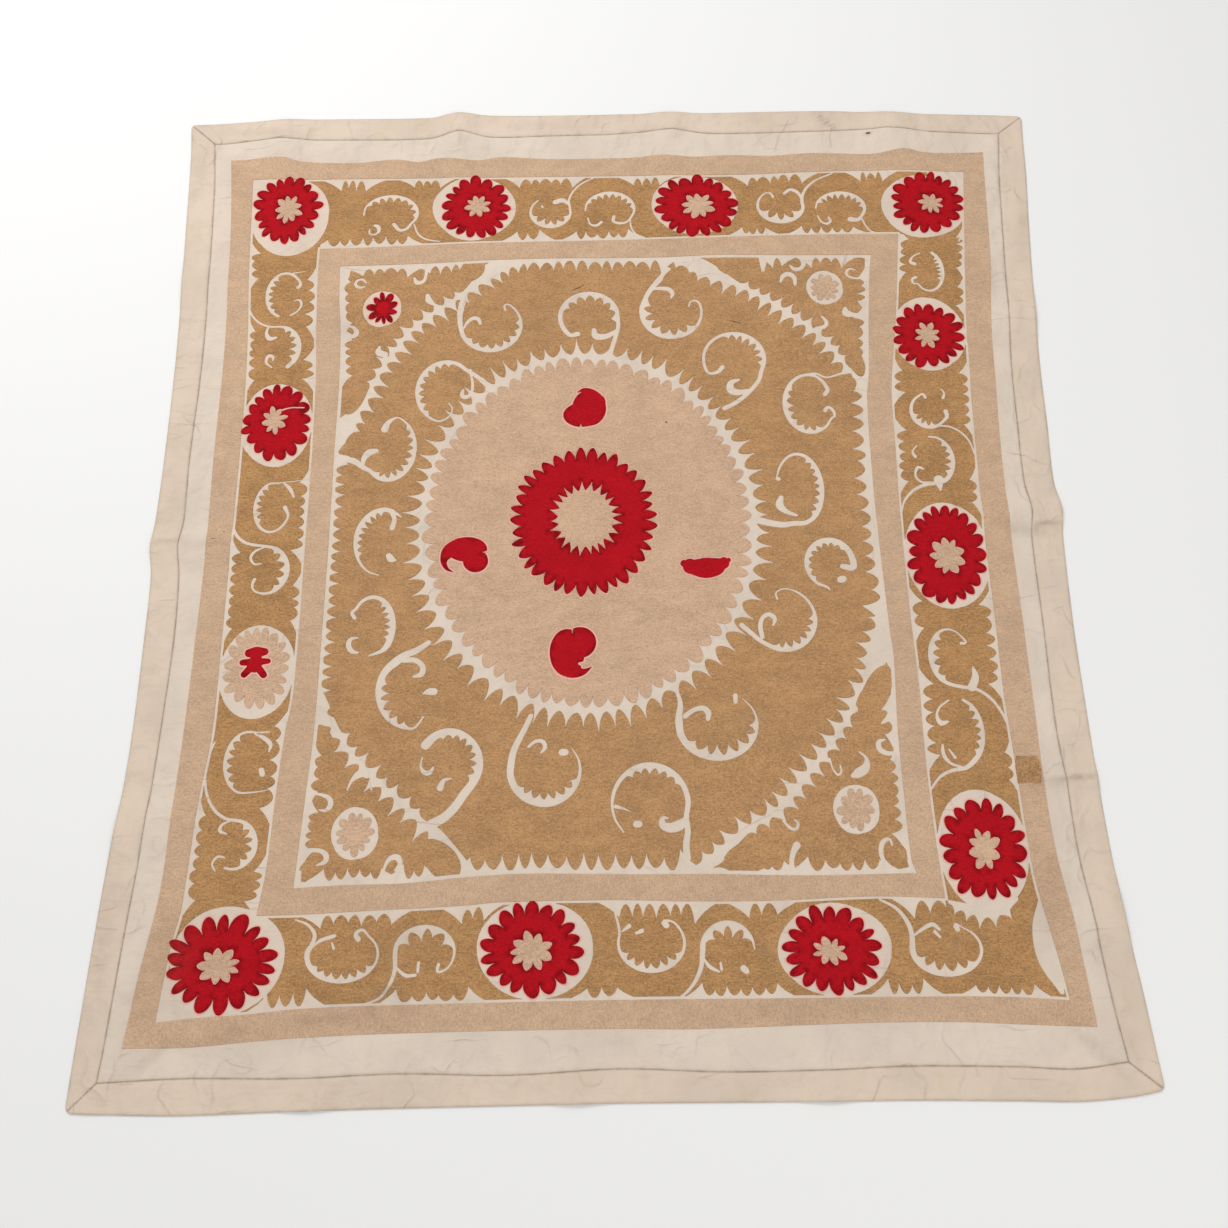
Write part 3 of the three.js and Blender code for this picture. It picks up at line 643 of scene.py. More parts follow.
def lie(x, y, thickness):
    """The height of the cloth's upper face."""
    return thickness + np.maximum(heaped(RIPPLES, x, y) + heaped(CREASES, x, y), 0)


def length_along(points):
    """The distance from the first point to each, along the line through them."""
    return np.concatenate(([0], np.cumsum(np.hypot(*np.diff(points, axis=0).T))))


def turned_by(x, y, angle):
    """Points turned round the origin."""
    return x * math.cos(angle) - y * math.sin(angle), x * math.sin(angle) + y * math.cos(angle)


def in_frame(x, y, z):
    """Table millimetres to metres in the frame."""
    return np.column_stack((x - CLOTH_CENTRE[0], y - CLOTH_CENTRE[1], z)) / 1000


# Outlines worked out from the tables

def loop_of(sides, shift=0):
    """A closed line round four sides, moved outwards by shift."""
    outline = []
    for side, sign, forward in (
        ("bottom", -1, True), ("right", 1, True), ("top", 1, False), ("left", -1, False),
    ):
        rows = sides[side]
        steps = max(int((rows[-1][0] - rows[0][0]) / 7), 2)
        at = np.linspace(rows[0][0] - shift, rows[-1][0] + shift, steps + 1)
        off = smooth_through(rows, 1, at) + sign * shift
        points = np.column_stack((at, off) if side in ("bottom", "top") else (off, at))
        outline.append(points[:-1] if forward else points[::-1][:-1])
    return np.concatenate(outline)


def ellipse(x, y, rx, ry, step):
    """A plain oval."""
    count = max(int(2 * math.pi * math.sqrt(rx * ry) / step), 10)
    a = np.linspace(0, 2 * math.pi, count, endpoint=False)
    return np.column_stack((x + rx * np.cos(a), y + ry * np.sin(a)))


# Stations over a petal and over a spike, from -1 to 1 and short of the next one's first
PETAL = (-1, -0.96, -0.88, -0.74, -0.56, -0.34, -0.12, 0.12, 0.34, 0.56, 0.74, 0.88, 0.96)
SPIKE = (-1, -0.82, -0.62, -0.44, -0.28, -0.13, 0, 0.13, 0.28, 0.44, 0.62, 0.82)


def lobe(share, roundness):
    """From 0 at the head of a lobe to 1 at its root; 1 is a straight flank, 2 a round one."""
    return 1 - (1 - share**roundness) ** (1 / roundness)


def toothed_round(oval, teeth, depth, seed, roundness, spiked=False, wobble=0.012, turn=0.0):
    """An oval with petals, or with spikes on a plain oval, no two quite alike."""
    rng = random.Random(seed)
    x, y, rx, ry = oval
    widths = [1 + rng.uniform(-0.24, 0.24) for _ in range(teeth)]
    scale = 2 * math.pi / sum(widths)
    swell = [(rng.uniform(-wobble, wobble), rng.uniform(0, 2 * math.pi)) for _ in range(3)]
    angle, points = turn, []
    for width in widths:
        half = width * scale / 2
        deep = depth * (1 + rng.uniform(-0.28, 0.20))
        lean = rng.uniform(-0.22, 0.22)
        head = depth * rng.uniform(-0.26, 0.10)
        for p in SPIKE if spiked else PETAL:
            if spiked:
                reach = deep * lobe(1 - abs(p), roundness)
                a = angle + half * (1 + p + lean * (1 - abs(p)))
            else:
                reach = head * (1 - p**4) - depth * lobe(abs(p), roundness)
                a = angle + half * (1 + p + lean * (1 - p * p))
            swelled = 1 + sum(s * math.sin((k + 2) * a + f) for k, (s, f) in enumerate(swell))
            points.append((
                x + (rx * swelled + reach) * math.cos(a), y + (ry * swelled + reach) * math.sin(a),
            ))
        angle += 2 * half
    return np.array(points)


def petals_of(rosette, seed, roundness=1.8, grow=0.0):
    """A rosette's outline from its row."""
    oval = (rosette.x, rosette.y, rosette.width / 2 + grow, rosette.height / 2 + grow)
    return toothed_round(
        oval, rosette.petals, rosette.depth - grow * 0.6, seed, roundness, wobble=0.02, turn=seed * 0.7,
    )


def leaf_outlines(leaf, grow=0.0):
    """The ovals and horns that make a leaf, and the nicks in it."""
    solids = [ellipse(x, y, rx + grow, ry + grow, 3.5) for x, y, rx, ry in leaf.bodies]
    solids += [drawn(points, 2 * grow) for points in leaf.horns]
    return solids, [drawn(points, -2 * grow) for points in leaf.nicks]


def leaf_end(row):
    """A turned oval, a little fuller at its far end."""
    outline = ellipse(0, 0, row.long, row.broad, 4)
    outline[:, 1] *= 1 + 0.12 * outline[:, 0] / row.long
    x, y = turned_by(*outline.T, math.radians(row.heading))
    return np.column_stack((row.x + x, row.y + y))


def curve_through(points, step):
    """Points close together on a smooth curve through a few, other columns carried along."""
    rows = np.array(points, float)
    reach = length_along(rows[:, :2])
    at = np.linspace(0, reach[-1], max(int(reach[-1] / step), 6) + 1)
    columns = [
        smooth_through(list(zip(reach, rows[:, k])), 1, at) for k in range(rows.shape[1])
    ]
    return np.column_stack(columns)


def stroke(path, widths, teeth=(), seed=0, roundness=1.4):
    """A closed outline along a path that has a width at each point, its ends round. teeth rows:
    side, from and to as shares of its length, how many and depth; side +1 is left of the path."""
    rng = random.Random(seed)
    reach = length_along(path)
    total = reach[-1]
    tangent = np.gradient(path, reach, axis=0)
    tangent /= np.maximum(np.hypot(*tangent.T), 1e-9)[:, None]
    normal = np.column_stack((-tangent[:, 1], tangent[:, 0]))
    edges = {}
    for side in (1, -1):
        stations, extra = [], []
        here = 0.0
        spans = [(row[1] * total, row[2] * total, row[3], row[4]) for row in teeth if row[0] == side]
        for start, stop, count, depth in spans + [(total, total, 0, 0)]:
            gap = max(int((start - here) / 3.0), 1)
            for s in np.linspace(here, start, gap, endpoint=False):
                stations.append(s)
                extra.append(0.0)
            for tooth in range(count):
                fade = min(1.0, 0.6 + 1.6 * min(tooth + 0.5, count - tooth - 0.5) / count)
                deep = depth * fade * (1 + rng.uniform(-0.25, 0.2))
                lean = rng.uniform(-0.22, 0.22)
                for p in SPIKE:
                    share = (tooth + (1 + p + lean * (1 - abs(p))) / 2) / count
                    stations.append(start + (stop - start) * share)
                    extra.append(deep * lobe(1 - abs(p), roundness))
            here = stop
        stations.append(total)
        extra.append(0.0)
        stations, extra = np.array(stations), np.array(extra)
        half = np.interp(stations, reach, widths) / 2 + extra
        px, py = (np.interp(stations, reach, path[:, k]) for k in (0, 1))
        nx, ny = (np.interp(stations, reach, normal[:, k]) for k in (0, 1))
        edges[side] = np.column_stack((px + side * half * nx, py + side * half * ny))
    turn = np.radians((-60, -30, 0, 30, 60))[:, None]
    front = path[-1] + widths[-1] / 2 * (tangent[-1] * np.cos(turn) + normal[-1] * np.sin(turn))
    rear = path[0] + widths[0] / 2 * (normal[0] * np.sin(-turn) - tangent[0] * np.cos(turn))
    return np.concatenate((edges[-1], front, edges[1][::-1], rear))


def drawn(points, wider=0.0):
    """A plain stroke through a few points of x, y and width."""
    curve = curve_through(points, 1.7)
    return stroke(curve[:, :2], np.maximum(curve[:, 2] + wider - 0.8, 0.6))


def scroll_outline(scroll, seed):
    """A white scroll stroke from its row: head, spiked arc and tail in one smooth line."""
    way = 1 if scroll.sweep > 0 else -1
    count = max(round(abs(scroll.sweep) / 24), 3)
    a = np.radians(np.linspace(scroll.start, scroll.start + scroll.sweep, count + 1))
    arc = np.column_stack((scroll.x + scroll.rx * np.cos(a), scroll.y + scroll.ry * np.sin(a)))
    knots = np.array([*scroll.head, *arc.tolist(), *scroll.tail], float)
    reach = length_along(knots)
    begin, end = reach[len(scroll.head)], reach[len(scroll.head) + count]
    marks = ((0, begin, (begin + end) / 2, end, reach[-1]), scroll.widths)
    if not scroll.head:
        marks = tuple(row[1:] for row in marks)
    if not scroll.tail:
        marks = tuple(row[:-1] for row in marks)
    path = curve_through(np.column_stack((knots, np.interp(reach, *marks))), 2.0)
    shares = [
        (begin + (end - begin) * (angle - scroll.start) / scroll.sweep) / reach[-1]
        for angle in scroll.spikes[:2]
    ]
    count, depth = scroll.spikes[2:]
    teeth = [(way, max(min(shares), 0.01), min(max(shares), 0.99), count, depth * 1.25)]
    return stroke(path[:, :2], np.maximum(path[:, 2] * 0.94 - 0.8, 0.8), teeth, seed, 1.35)


def notched_line(lines, notches, seed):
    """White bitten in from a frame's edge between round lobes, arched off at both ends."""
    rng = random.Random(seed)
    rows, sign, upright = lines[notches.line]
    low, high = rows[0][0], rows[-1][0]
    roots = [notches.depth * (1 + rng.uniform(-0.28, 0.15)) for _ in range(notches.count + 1)]
    roots[0] *= 1.2
    roots[-1] *= 1.2
    pitch = (notches.stop - notches.start) / notches.count
    ends = [notches.start + pitch * (k + rng.uniform(-0.14, 0.14)) for k in range(notches.count + 1)]
    run_out = 14 + notches.depth * 1.2
    arch = [(1 - s, min(2 * s, 1), s**2.2) for s in (0, 0.3, 0.5, 0.68, 0.82, 0.93)]
    found = [
        (ends[0] - run_out * out, notches.bare * flat + (roots[0] - notches.bare) * up)
        for out, flat, up in arch
    ]
    for number in range(notches.count):
        head = notches.bare + notches.depth * rng.uniform(-0.02, 0.16)
        for p in PETAL:
            root = roots[number] if p < 0 else roots[number + 1]
            at = ends[number] + (ends[number + 1] - ends[number]) * (1 + p) / 2
            found.append((at, head + (root - head) * lobe(abs(p), 1.65)))
    found += [
        (ends[-1] + run_out * out, notches.bare * flat + (roots[-1] - notches.bare) * up)
        for out, flat, up in [(0, 1, 1), *arch[::-1]]
    ]
    stations = np.clip([at for at, _ in found], low, high)
    depths = np.array([depth for _, depth in found])
    keep = np.concatenate(([True], np.diff(stations) > 0.05))
    stations, depths = stations[keep], depths[keep]
    base = smooth_through(rows, 1, stations)
    near, far = base + sign * depths, base - sign * 3
    across = np.concatenate((near, far[::-1]))
    along = np.concatenate((stations, stations[::-1]))
    return np.column_stack((across, along) if upright else (along, across))


# Meshes

def winds_round(outline, at):
    """Which of the points the outline runs round, also where it crosses itself."""
    x, y = outline.T
    ahead_x, ahead_y = np.roll(outline, -1, axis=0).T
    found = []
    for some in np.array_split(at, max(len(at) * len(outline) // 2000000, 1)):
        px, py = some[:, :1], some[:, 1:]
        side = (ahead_x - x) * (py - y) - (px - x) * (ahead_y - y)
        up = (y <= py) & (ahead_y > py) & (side > 0)
        down = (y > py) & (ahead_y <= py) & (side < 0)
        found.append(up.sum(axis=1) != down.sum(axis=1))
    return np.concatenate(found)


def filled(bases, cuts, spacing, kept=()):
    """Triangles over what lies in a base and in no cut, or in a kept outline, over a fine grid."""
    outlines = [np.asarray(o) for o in (*bases, *kept, *cuts)]
    edge = np.concatenate(outlines)
    low, high = edge.min(axis=0) - 8, edge.max(axis=0) + 8
    cell = 2.5
    taken = np.zeros(tuple(((high - low) / cell).astype(int) + 3), bool)
    for outline in outlines:
        step = np.roll(outline, -1, axis=0) - outline
        for share in np.linspace(0, 1, 6):
            index = ((outline + step * share - low) / cell).astype(int)
            for dx in (-1, 0, 1):
                for dy in (-1, 0, 1):
                    taken[index[:, 0] + 1 + dx, index[:, 1] + 1 + dy] = True
    gx, gy = np.meshgrid(
        np.arange(low[0], high[0], spacing), np.arange(low[1], high[1], spacing * 0.87)
    )
    gx[1::2] += spacing / 2
    grid = np.column_stack((gx.ravel(), gy.ravel()))
    index = ((grid - low) / cell).astype(int) + 1
    inside = (index < taken.shape).all(axis=1)
    grid, index = grid[inside], index[inside]
    grid = grid[~taken[index[:, 0], index[:, 1]]]
    faces, count = [], 0
    for outline in outlines:
        faces.append(list(range(count, count + len(outline))))
        count += len(outline)
    points = [Vector(p) for p in np.concatenate((edge, grid)).tolist()]
    found = delaunay_2d_cdt(points, [], faces, 0, 1e-4, True)
    plan = np.array([tuple(v) for v in found[0]])
    triangles = np.array([f for f in found[2] if len(f) == 3], int)
    centres = plan[triangles].mean(axis=1)
    shares = {}
    for kind, group in (("base", bases), ("cut", cuts), ("kept", kept)):
        shares[kind] = np.zeros(len(centres), bool)
        for outline in group:
            low, high = np.min(outline, axis=0), np.max(outline, axis=0)
            near = np.flatnonzero(((centres > low) & (centres < high)).all(axis=1))
            if len(near):
                shares[kind][near] |= winds_round(np.asarray(outline), centres[near])
    chosen = shares["base"] & (~shares["cut"] | shares["kept"])
    return plan, triangles[chosen]


def islands(triangles):
    """The triangles sorted into groups that hang together."""
    parent = list(range(int(triangles.max()) + 1))

    def root(n):
        while parent[n] != n:
            parent[n] = parent[parent[n]]
            n = parent[n]
        return n

    for a, b, c in triangles.tolist():
        ra = root(a)
        for other in (root(b), root(c)):
            if other != ra:
                parent[other] = ra
    roots = np.array([root(n) for n in triangles[:, 0].tolist()])
    return [triangles[roots == r] for r in sorted(set(roots.tolist()))]


def twice_area(points, triangles):
    """Twice each triangle's area, below 0 where it runs clockwise."""
    a, b, c = (points[triangles[:, k]] for k in range(3))
    return (b[:, 0] - a[:, 0]) * (c[:, 1] - a[:, 1]) - (b[:, 1] - a[:, 1]) * (c[:, 0] - a[:, 0])


def shell(plan, triangles, relief, thickness, rim=0.5):
    """A thin closed layer over the triangles on the cloth's upper face, its rim sloped."""
    used, flat = np.unique(triangles, return_inverse=True)
    triangles = flat.reshape(-1, 3)
    plan = plan[used]
    flipped = twice_area(plan, triangles) < 0
    triangles[flipped] = triangles[flipped][:, ::-1]
    sides = np.concatenate([triangles[:, [k, (k + 1) % 3]] for k in range(3)])
    count = len(plan)
    keys = sides[:, 0] * count + sides[:, 1]
    lone = ~np.isin(keys, sides[:, 1] * count + sides[:, 0])
    rims = sides[lone]
    step = plan[rims[:, 1]] - plan[rims[:, 0]]
    step /= np.maximum(np.hypot(*step.T), 1e-9)[:, None]
    inward = np.column_stack((-step[:, 1], step[:, 0]))
    push = np.zeros((count, 2))
    for end in range(2):
        np.add.at(push, rims[:, end], inward)
    length = np.hypot(*push.T)
    on_rim = length > 1e-6
    push[on_rim] /= length[on_rim][:, None]
    reach = np.where(on_rim, rim / np.clip(length / 2, 0.42, 1), 0)
    top = plan + push * reach[:, None]
    for _ in range(6):
        tight = np.unique(triangles[twice_area(top, triangles) <= 1e-3])
        top[tight] = plan[tight]
    ground = lie(plan[:, 0], plan[:, 1], thickness)
    vertices = np.concatenate((
        in_frame(top[:, 0], top[:, 1], ground + relief),
        in_frame(plan[:, 0], plan[:, 1], ground - 0.3),
    ))
    walls = np.column_stack((rims + count, rims[:, ::-1]))
    faces = triangles.tolist() + (triangles[:, ::-1] + count).tolist() + walls.tolist()
    return vertices, faces


def joined(layers):
    """Several layers' vertices and faces as one."""
    vertices, faces, count = [], [], 0
    for points, polygons in layers:
        vertices.append(points)
        faces.extend([[n + count for n in polygon] for polygon in polygons])
        count += len(points)
    return np.concatenate(vertices), faces


def places_of(mesh):
    """A mesh's vertices as rows of x, y and z."""
    points = np.empty(len(mesh.vertices) * 3)
    mesh.vertices.foreach_get("co", points)
    return points.reshape(-1, 3)


def write_values(mesh, name, values):
    """A number for each vertex, under a name that the materials read."""
    layer = mesh.attributes.new(name, "FLOAT", "POINT")
    layer.data.foreach_set("value", values.astype(np.float32))


def add_wear_and_shade(mesh, extra_shade=0):
    """Soil, painted shade along the sheets' edges, and washed-in dye at each vertex."""
    points = places_of(mesh) * 1000
    x, y = points[:, 0] + CLOTH_CENTRE[0], points[:, 1] + CLOTH_CENTRE[1]
    # The first layer holds the stains and the painted shade along the sheets' edges.
    write_values(mesh, "soil", np.clip(np.maximum(heaped(STAINS, x, y), extra_shade), 0, 1))
    write_values(mesh, "dye", np.clip(heaped(DYE, x, y), 0, MOST_DYE))


def new_piece(name, vertices, faces, material, slot, sharp=35):
    """A finished piece from its vertices and faces, riding on the cloth's body."""
    mesh = bpy.data.meshes.new(name)
    mesh.from_pydata(vertices.tolist(), [], faces)
    mesh.validate()
    piece = bpy.data.objects.new(name, mesh)
    bpy.context.scene.collection.objects.link(piece)
    add_wear_and_shade(mesh)
    # These rim values mark where the thread's painted rim shade is laid.
    rim = np.zeros(len(mesh.vertices))
    rim[[n for face in faces if len(face) == 4 for n in face]] = 1
    write_values(mesh, "rim", rim)
    bpy.ops.object.select_all(action="DESELECT")
    piece.select_set(True)
    bpy.context.view_layer.objects.active = piece
    bpy.ops.object.shade_smooth_by_angle(angle=math.radians(sharp))
    mesh.materials.append(material)
    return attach(piece, "root")


def worked(context, name, bases, cuts, relief, material, spacing=11, group=None, kept=()):
    """A worked area as one piece, or as one for each name that group gives its islands.
    What is smaller than the smallest work is left out."""
    thickness = context.scene.cloth_sizes.thickness * 1000
    plan, triangles = filled(bases, cuts, spacing, kept)
    if not len(triangles):
        raise RuntimeError(f"{name} has no area")
    sorted_out = {}
    for island in islands(triangles):
        if np.abs(twice_area(plan, island)).sum() / 2 < SMALLEST_WORK:
            continue
        label = group(plan[island].reshape(-1, 2).mean(axis=0)) if group else name
        sorted_out.setdefault(label, []).append(island)
    pieces = []
    for label, found in sorted(sorted_out.items()):
        layers = [shell(plan, island, relief, thickness) for island in found]
        pieces.append(new_piece(label, *joined(layers), material, "ground_cotton"))
    return pieces


# Materials

class Value:
    """A socket that takes + - * with sockets and numbers; each adds a Math node."""

    def __init__(self, shader, socket):
        self.shader, self.socket = shader, socket

    def math(self, operation, *others, swap=False):
        order = [self, *others]
        if swap:
            order.reverse()
        node = self.shader.node("ShaderNodeMath", {"operation": operation}, *order)
        return Value(self.shader, node.outputs[0])

    def __add__(self, other):
        return self.math("ADD", other)

    def __sub__(self, other):
        return self.math("SUBTRACT", other)

    def __mul__(self, other):
        return self.math("MULTIPLY", other)

    def __rsub__(self, other):
        return self.math("SUBTRACT", other, swap=True)

    __radd__, __rmul__ = __add__, __mul__

    def clamped(self):
        node = self.shader.node("ShaderNodeClamp", {}, self)
        return Value(self.shader, node.outputs[0])

    def above(self, low, high):
        """0 below low, 1 above high, soft between."""
        node = self.shader.node(
            "ShaderNodeMapRange", {"interpolation_type": "SMOOTHSTEP"}, self, low, high, 0.0, 1.0
        )
        return Value(self.shader, node.outputs[0])


class Shader:
    """A material under construction."""

    def __init__(self, name, roughness):
        self.material = bpy.data.materials.new(name)
        self.material.use_nodes = True
        self.tree = self.material.node_tree
        self.surface = self.tree.nodes["Principled BSDF"]
        self.surface.inputs["Roughness"].default_value = roughness
        self.surface.inputs["Specular IOR Level"].default_value = 0.06
        self.place = self.node("ShaderNodeTexCoord").outputs["Object"]

    def node(self, kind, settings=None, *values, **named):
        """A node of a kind, its settings first and then its sockets' values or links."""
        node = self.tree.nodes.new(kind)
        for key, value in (settings or {}).items():
            setattr(node, key, value)
        for key, value in (*enumerate(values), *named.items()):
            socket = node.inputs[key.replace("_", " ") if isinstance(key, str) else key]
            if isinstance(value, Value):
                value = value.socket
            if isinstance(value, bpy.types.NodeSocket):
                self.tree.links.new(value, socket)
            elif value is not None:
                socket.default_value = value
        return node

    def axis(self, name):
        """X, Y or Z of the place."""
        split = self.node("ShaderNodeSeparateXYZ", {}, self.place)
        return Value(self, split.outputs[name])

    def attribute(self, name):
        """A number that the mesh's vertices carry."""
        node = self.node("ShaderNodeAttribute", {"attribute_name": name})
        return Value(self, node.outputs["Fac"])

    def noise(self, scale, stretch=(1, 1, 1), detail=2.0, roughness=0.5):
        """Even noise about one half. scale is in features for each metre."""
        vector = self.node("ShaderNodeMapping", {}, self.place, Scale=stretch).outputs[0]
        node = self.node(
            "ShaderNodeTexNoise", Vector=vector, Scale=scale, Detail=detail, Roughness=roughness,
        )
        return Value(self, node.outputs[0])

    def crossings(self, noise, sharpness):
        """Narrow lines where a noise crosses one half."""
        return (1 - (noise - 0.5).math("ABSOLUTE") * sharpness).clamped()

    def mix(self, factor, first, second):
        """The first colour where the factor is 0, the second where it is 1."""
        node = self.node("ShaderNodeMix", {"data_type": "RGBA"})
        for number, value in ((0, factor), (6, first), (7, second)):
            socket = node.inputs[number]
            if isinstance(value, Value):
                value = value.socket
            if isinstance(value, bpy.types.NodeSocket):
                self.tree.links.new(value, socket)
            elif isinstance(value, (int, float)):
                socket.default_value = value
            else:
                socket.default_value = (*value, 1)[:4]
        return node.outputs[2]

    def finish(self, color, height, distance, strength):
        """Joins colour and bump to the surface."""
        self.tree.links.new(color, self.surface.inputs["Base Color"])
        bump = self.node("ShaderNodeBump", Strength=strength, Distance=distance, Height=height)
        self.tree.links.new(bump.outputs[0], self.surface.inputs["Normal"])
        return self.material


def shade_of(color, factor):
    """A colour made lighter or darker."""
    return tuple(min(c * factor, 1) for c in color)


def worn_and_shaded(shader, color, colors, grime_and_shade=1.0):
    """A colour with the cloth's stains and dirt, and the painted shade along its edges, laid over it."""
    patchy = shader.noise(45, detail=4.0, roughness=0.62).above(0.32, 0.68)
    amount = (shader.attribute("soil") * (0.55 + patchy * 0.75) * grime_and_shade).clamped()
    return shader.mix(amount, color, tuple(colors.soil))


def cotton(name, color, colors, yellow, dyed):
    """Plain-woven cotton: threads both ways, soft stains, the washed-in dye, painted shade along the
    sheets' edges, and creases and pulls that are narrow lines where a soft noise crosses its middle."""
    shader = Shader(name, 0.95)
    warp = shader.noise(900, (1, 0.05, 1), 1.0)
    weft = shader.noise(900, (0.05, 1, 1), 1.0)
    slub = shader.noise(160, (0.06, 1, 1), 2.0)
    clouds = shader.noise(9, detail=4.0, roughness=0.55).above(0.36, 0.68)
    spots = shader.noise(26, detail=3.0, roughness=0.6).above(0.52, 0.78)
    tone = shader.mix(clouds, shade_of(color, 1.05), shade_of(color, 0.945))
    tone = shader.mix(spots * yellow, tone, (color[0] * 0.95, color[1] * 0.90, color[2] * 0.78))
    tone = shader.mix((warp + weft) * 0.5 * 0.35, tone, shade_of(color, 0.86))
    tone = shader.mix(slub.above(0.55, 0.8) * 0.18, tone, shade_of(color, 0.9))
    if dyed:
        tone = shader.mix(shader.attribute("dye") * 0.75, tone, tuple(colors.dyed))
    tone = worn_and_shaded(shader, tone, colors)
    crumple = shader.noise(38, (1, 1, 1), 3.0, 0.55)
    soft = shader.noise(15, (1, 0.55, 1), 2.0)
    fold_line = shader.crossings(shader.noise(13, (1, 0.7, 1), 2.0, 0.45), 26)
    pull_line = shader.crossings(shader.noise(19, (0.35, 1, 1), 2.0, 0.45), 30)
    where = shader.noise(8, detail=1.0).above(0.46, 0.64)
    elsewhere = shader.noise(10, (1, 0.6, 1), 1.0).above(0.48, 0.66)
    lines = fold_line * fold_line * where + pull_line * pull_line * elsewhere * 0.8
    height = warp * 0.16 + weft * 0.16 + slub * 0.2 + crumple * 6.0 + soft * 24.0 + lines * 1.9
    return shader.finish(tone, height, 0.0009, 0.8)


def thread(name, color, colors, mottle, grime_and_shade=1.0, rim_shade=0.0, framed=False):
    """Laid and couched thread in close rows, uneven in tone as hand-dyed thread is. Framed thread
    turns with the frame's sides; rim shade paints the thread darker at its rim, as painted shade in the groove
    there."""
    shader = Shader(name, 0.85)
    fine = shader.noise(560, (0.32, 1, 1), 2.0)
    if framed:
        upright = shader.noise(560, (1, 0.32, 1), 2.0)
        x, y = (shader.axis(name).math("ABSOLUTE") for name in "XY")
        on_ends = (y - x).above(0.058, 0.072)
        fine = upright * on_ends + fine * (1 - on_ends)
    grain = shader.noise(360, detail=3.0, roughness=0.7)
    specks = shader.noise(240, (0.6, 1, 1), 1.0).above(0.60, 0.74)
    clouds = shader.noise(14, detail=4.0, roughness=0.6)
    patches = shader.noise(60, (0.5, 1, 1), 3.0, 0.6)
    tone = (
        (fine - 0.5) * 1.5 + (grain - 0.5) * 2.8 - specks * 0.35
        + (clouds - 0.5) * 0.9 + (patches - 0.5) * 0.9
    )
    dark, light = (shade_of(color, 1 + side * mottle * 1.7) for side in (-1, 1))
    tinted = shader.mix((tone + 0.5).clamped(), dark, light)
    # Painted shade: the thread is darkened towards its rim, where the groove's shade would fall.
    if rim_shade:
        ragged = shader.noise(120, detail=2.0).above(0.30, 0.62)
        tinted = shader.mix(shader.attribute("rim") * ragged * rim_shade, tinted, shade_of(color, 0.36))
    return shader.finish(worn_and_shaded(shader, tinted, colors, grime_and_shade), fine * 0.8 + grain * 0.8, 0.0007, 0.9)


# What a user can change

def size(name, text, value):
    """A length in metres that a user can change."""
    return bpy.props.FloatProperty(
        name=name, description=text, default=value, min=0, subtype="DISTANCE", unit="LENGTH", precision=5
    )


def color(name, text, value):
    """A colour that a user can change."""
    return bpy.props.FloatVectorProperty(
        name=name, description=text, default=value, min=0, max=1, size=3, subtype="COLOR"
    )


class ClothSizes(bpy.types.PropertyGroup):
    """Sizes of the sheet and of the stitching"""

    thickness: size("Sheet thickness", "Thickness of the cotton sheet and its strips", 0.002)
    thread_relief: size("Thread relief", "Height of the laid thread above the cloth", 0.0008)
    red_relief: size("Red relief", "Height of the thicker red thread above the cloth", 0.0011)
    mesh_step: size("Sheet mesh", "Distance between the sheet's mesh lines", 0.0080)
    stitch_pitch: size("Stitch pitch", "Distance between running stitches on the seams", 0.0060)
    stitch_length: size("Stitch length", "Length of one running stitch", 0.0030)


class ClothColors(bpy.types.PropertyGroup):
    """Colours of the cotton and of the threads"""

    ground: color("Ground cotton", "The panel's washed off-white cotton", (0.700, 0.592, 0.492))
    strip: color("Strip cotton", "The sewn-on strips' cream cotton", (0.688, 0.565, 0.452))
    khaki: color("Khaki thread", "The scrollwork of the ring and sprays", (0.440, 0.246, 0.113))
    border: color("Border thread", "The scrollwork of the border", (0.417, 0.228, 0.097))
    frame: color("Frame thread", "The plain frames", (0.552, 0.374, 0.245))
    medallion: color("Medallion thread", "The medallion", (0.574, 0.379, 0.249))
    pale: color("Pale thread", "The pale rosettes and the hearts", (0.560, 0.375, 0.250))
    red: color("Red thread", "The rosettes, ring and leaves", (0.420, 0.006, 0.012))
    brown: color("Patch thread", "The darker mend in the frame", (0.400, 0.222, 0.105))
    seam: color("Seam thread", "The running stitches", (0.520, 0.415, 0.300))
    # A dark colour laid both as dirt and as painted shade along the seams, mitres and outer edges.
    soil: color("Soil", "The dirt in folds and edges", (0.230, 0.160, 0.100))
    dyed: color("Washed-in dye", "Ground cotton tinted by the red dye", (0.665, 0.505, 0.395))
    fringe: color("Dye fringe", "Ground cotton right beside the reds", (0.780, 0.440, 0.370))
    floor: color("Floor", "The plain pale floor", (0.840, 0.835, 0.820))


# One step for each group of pieces

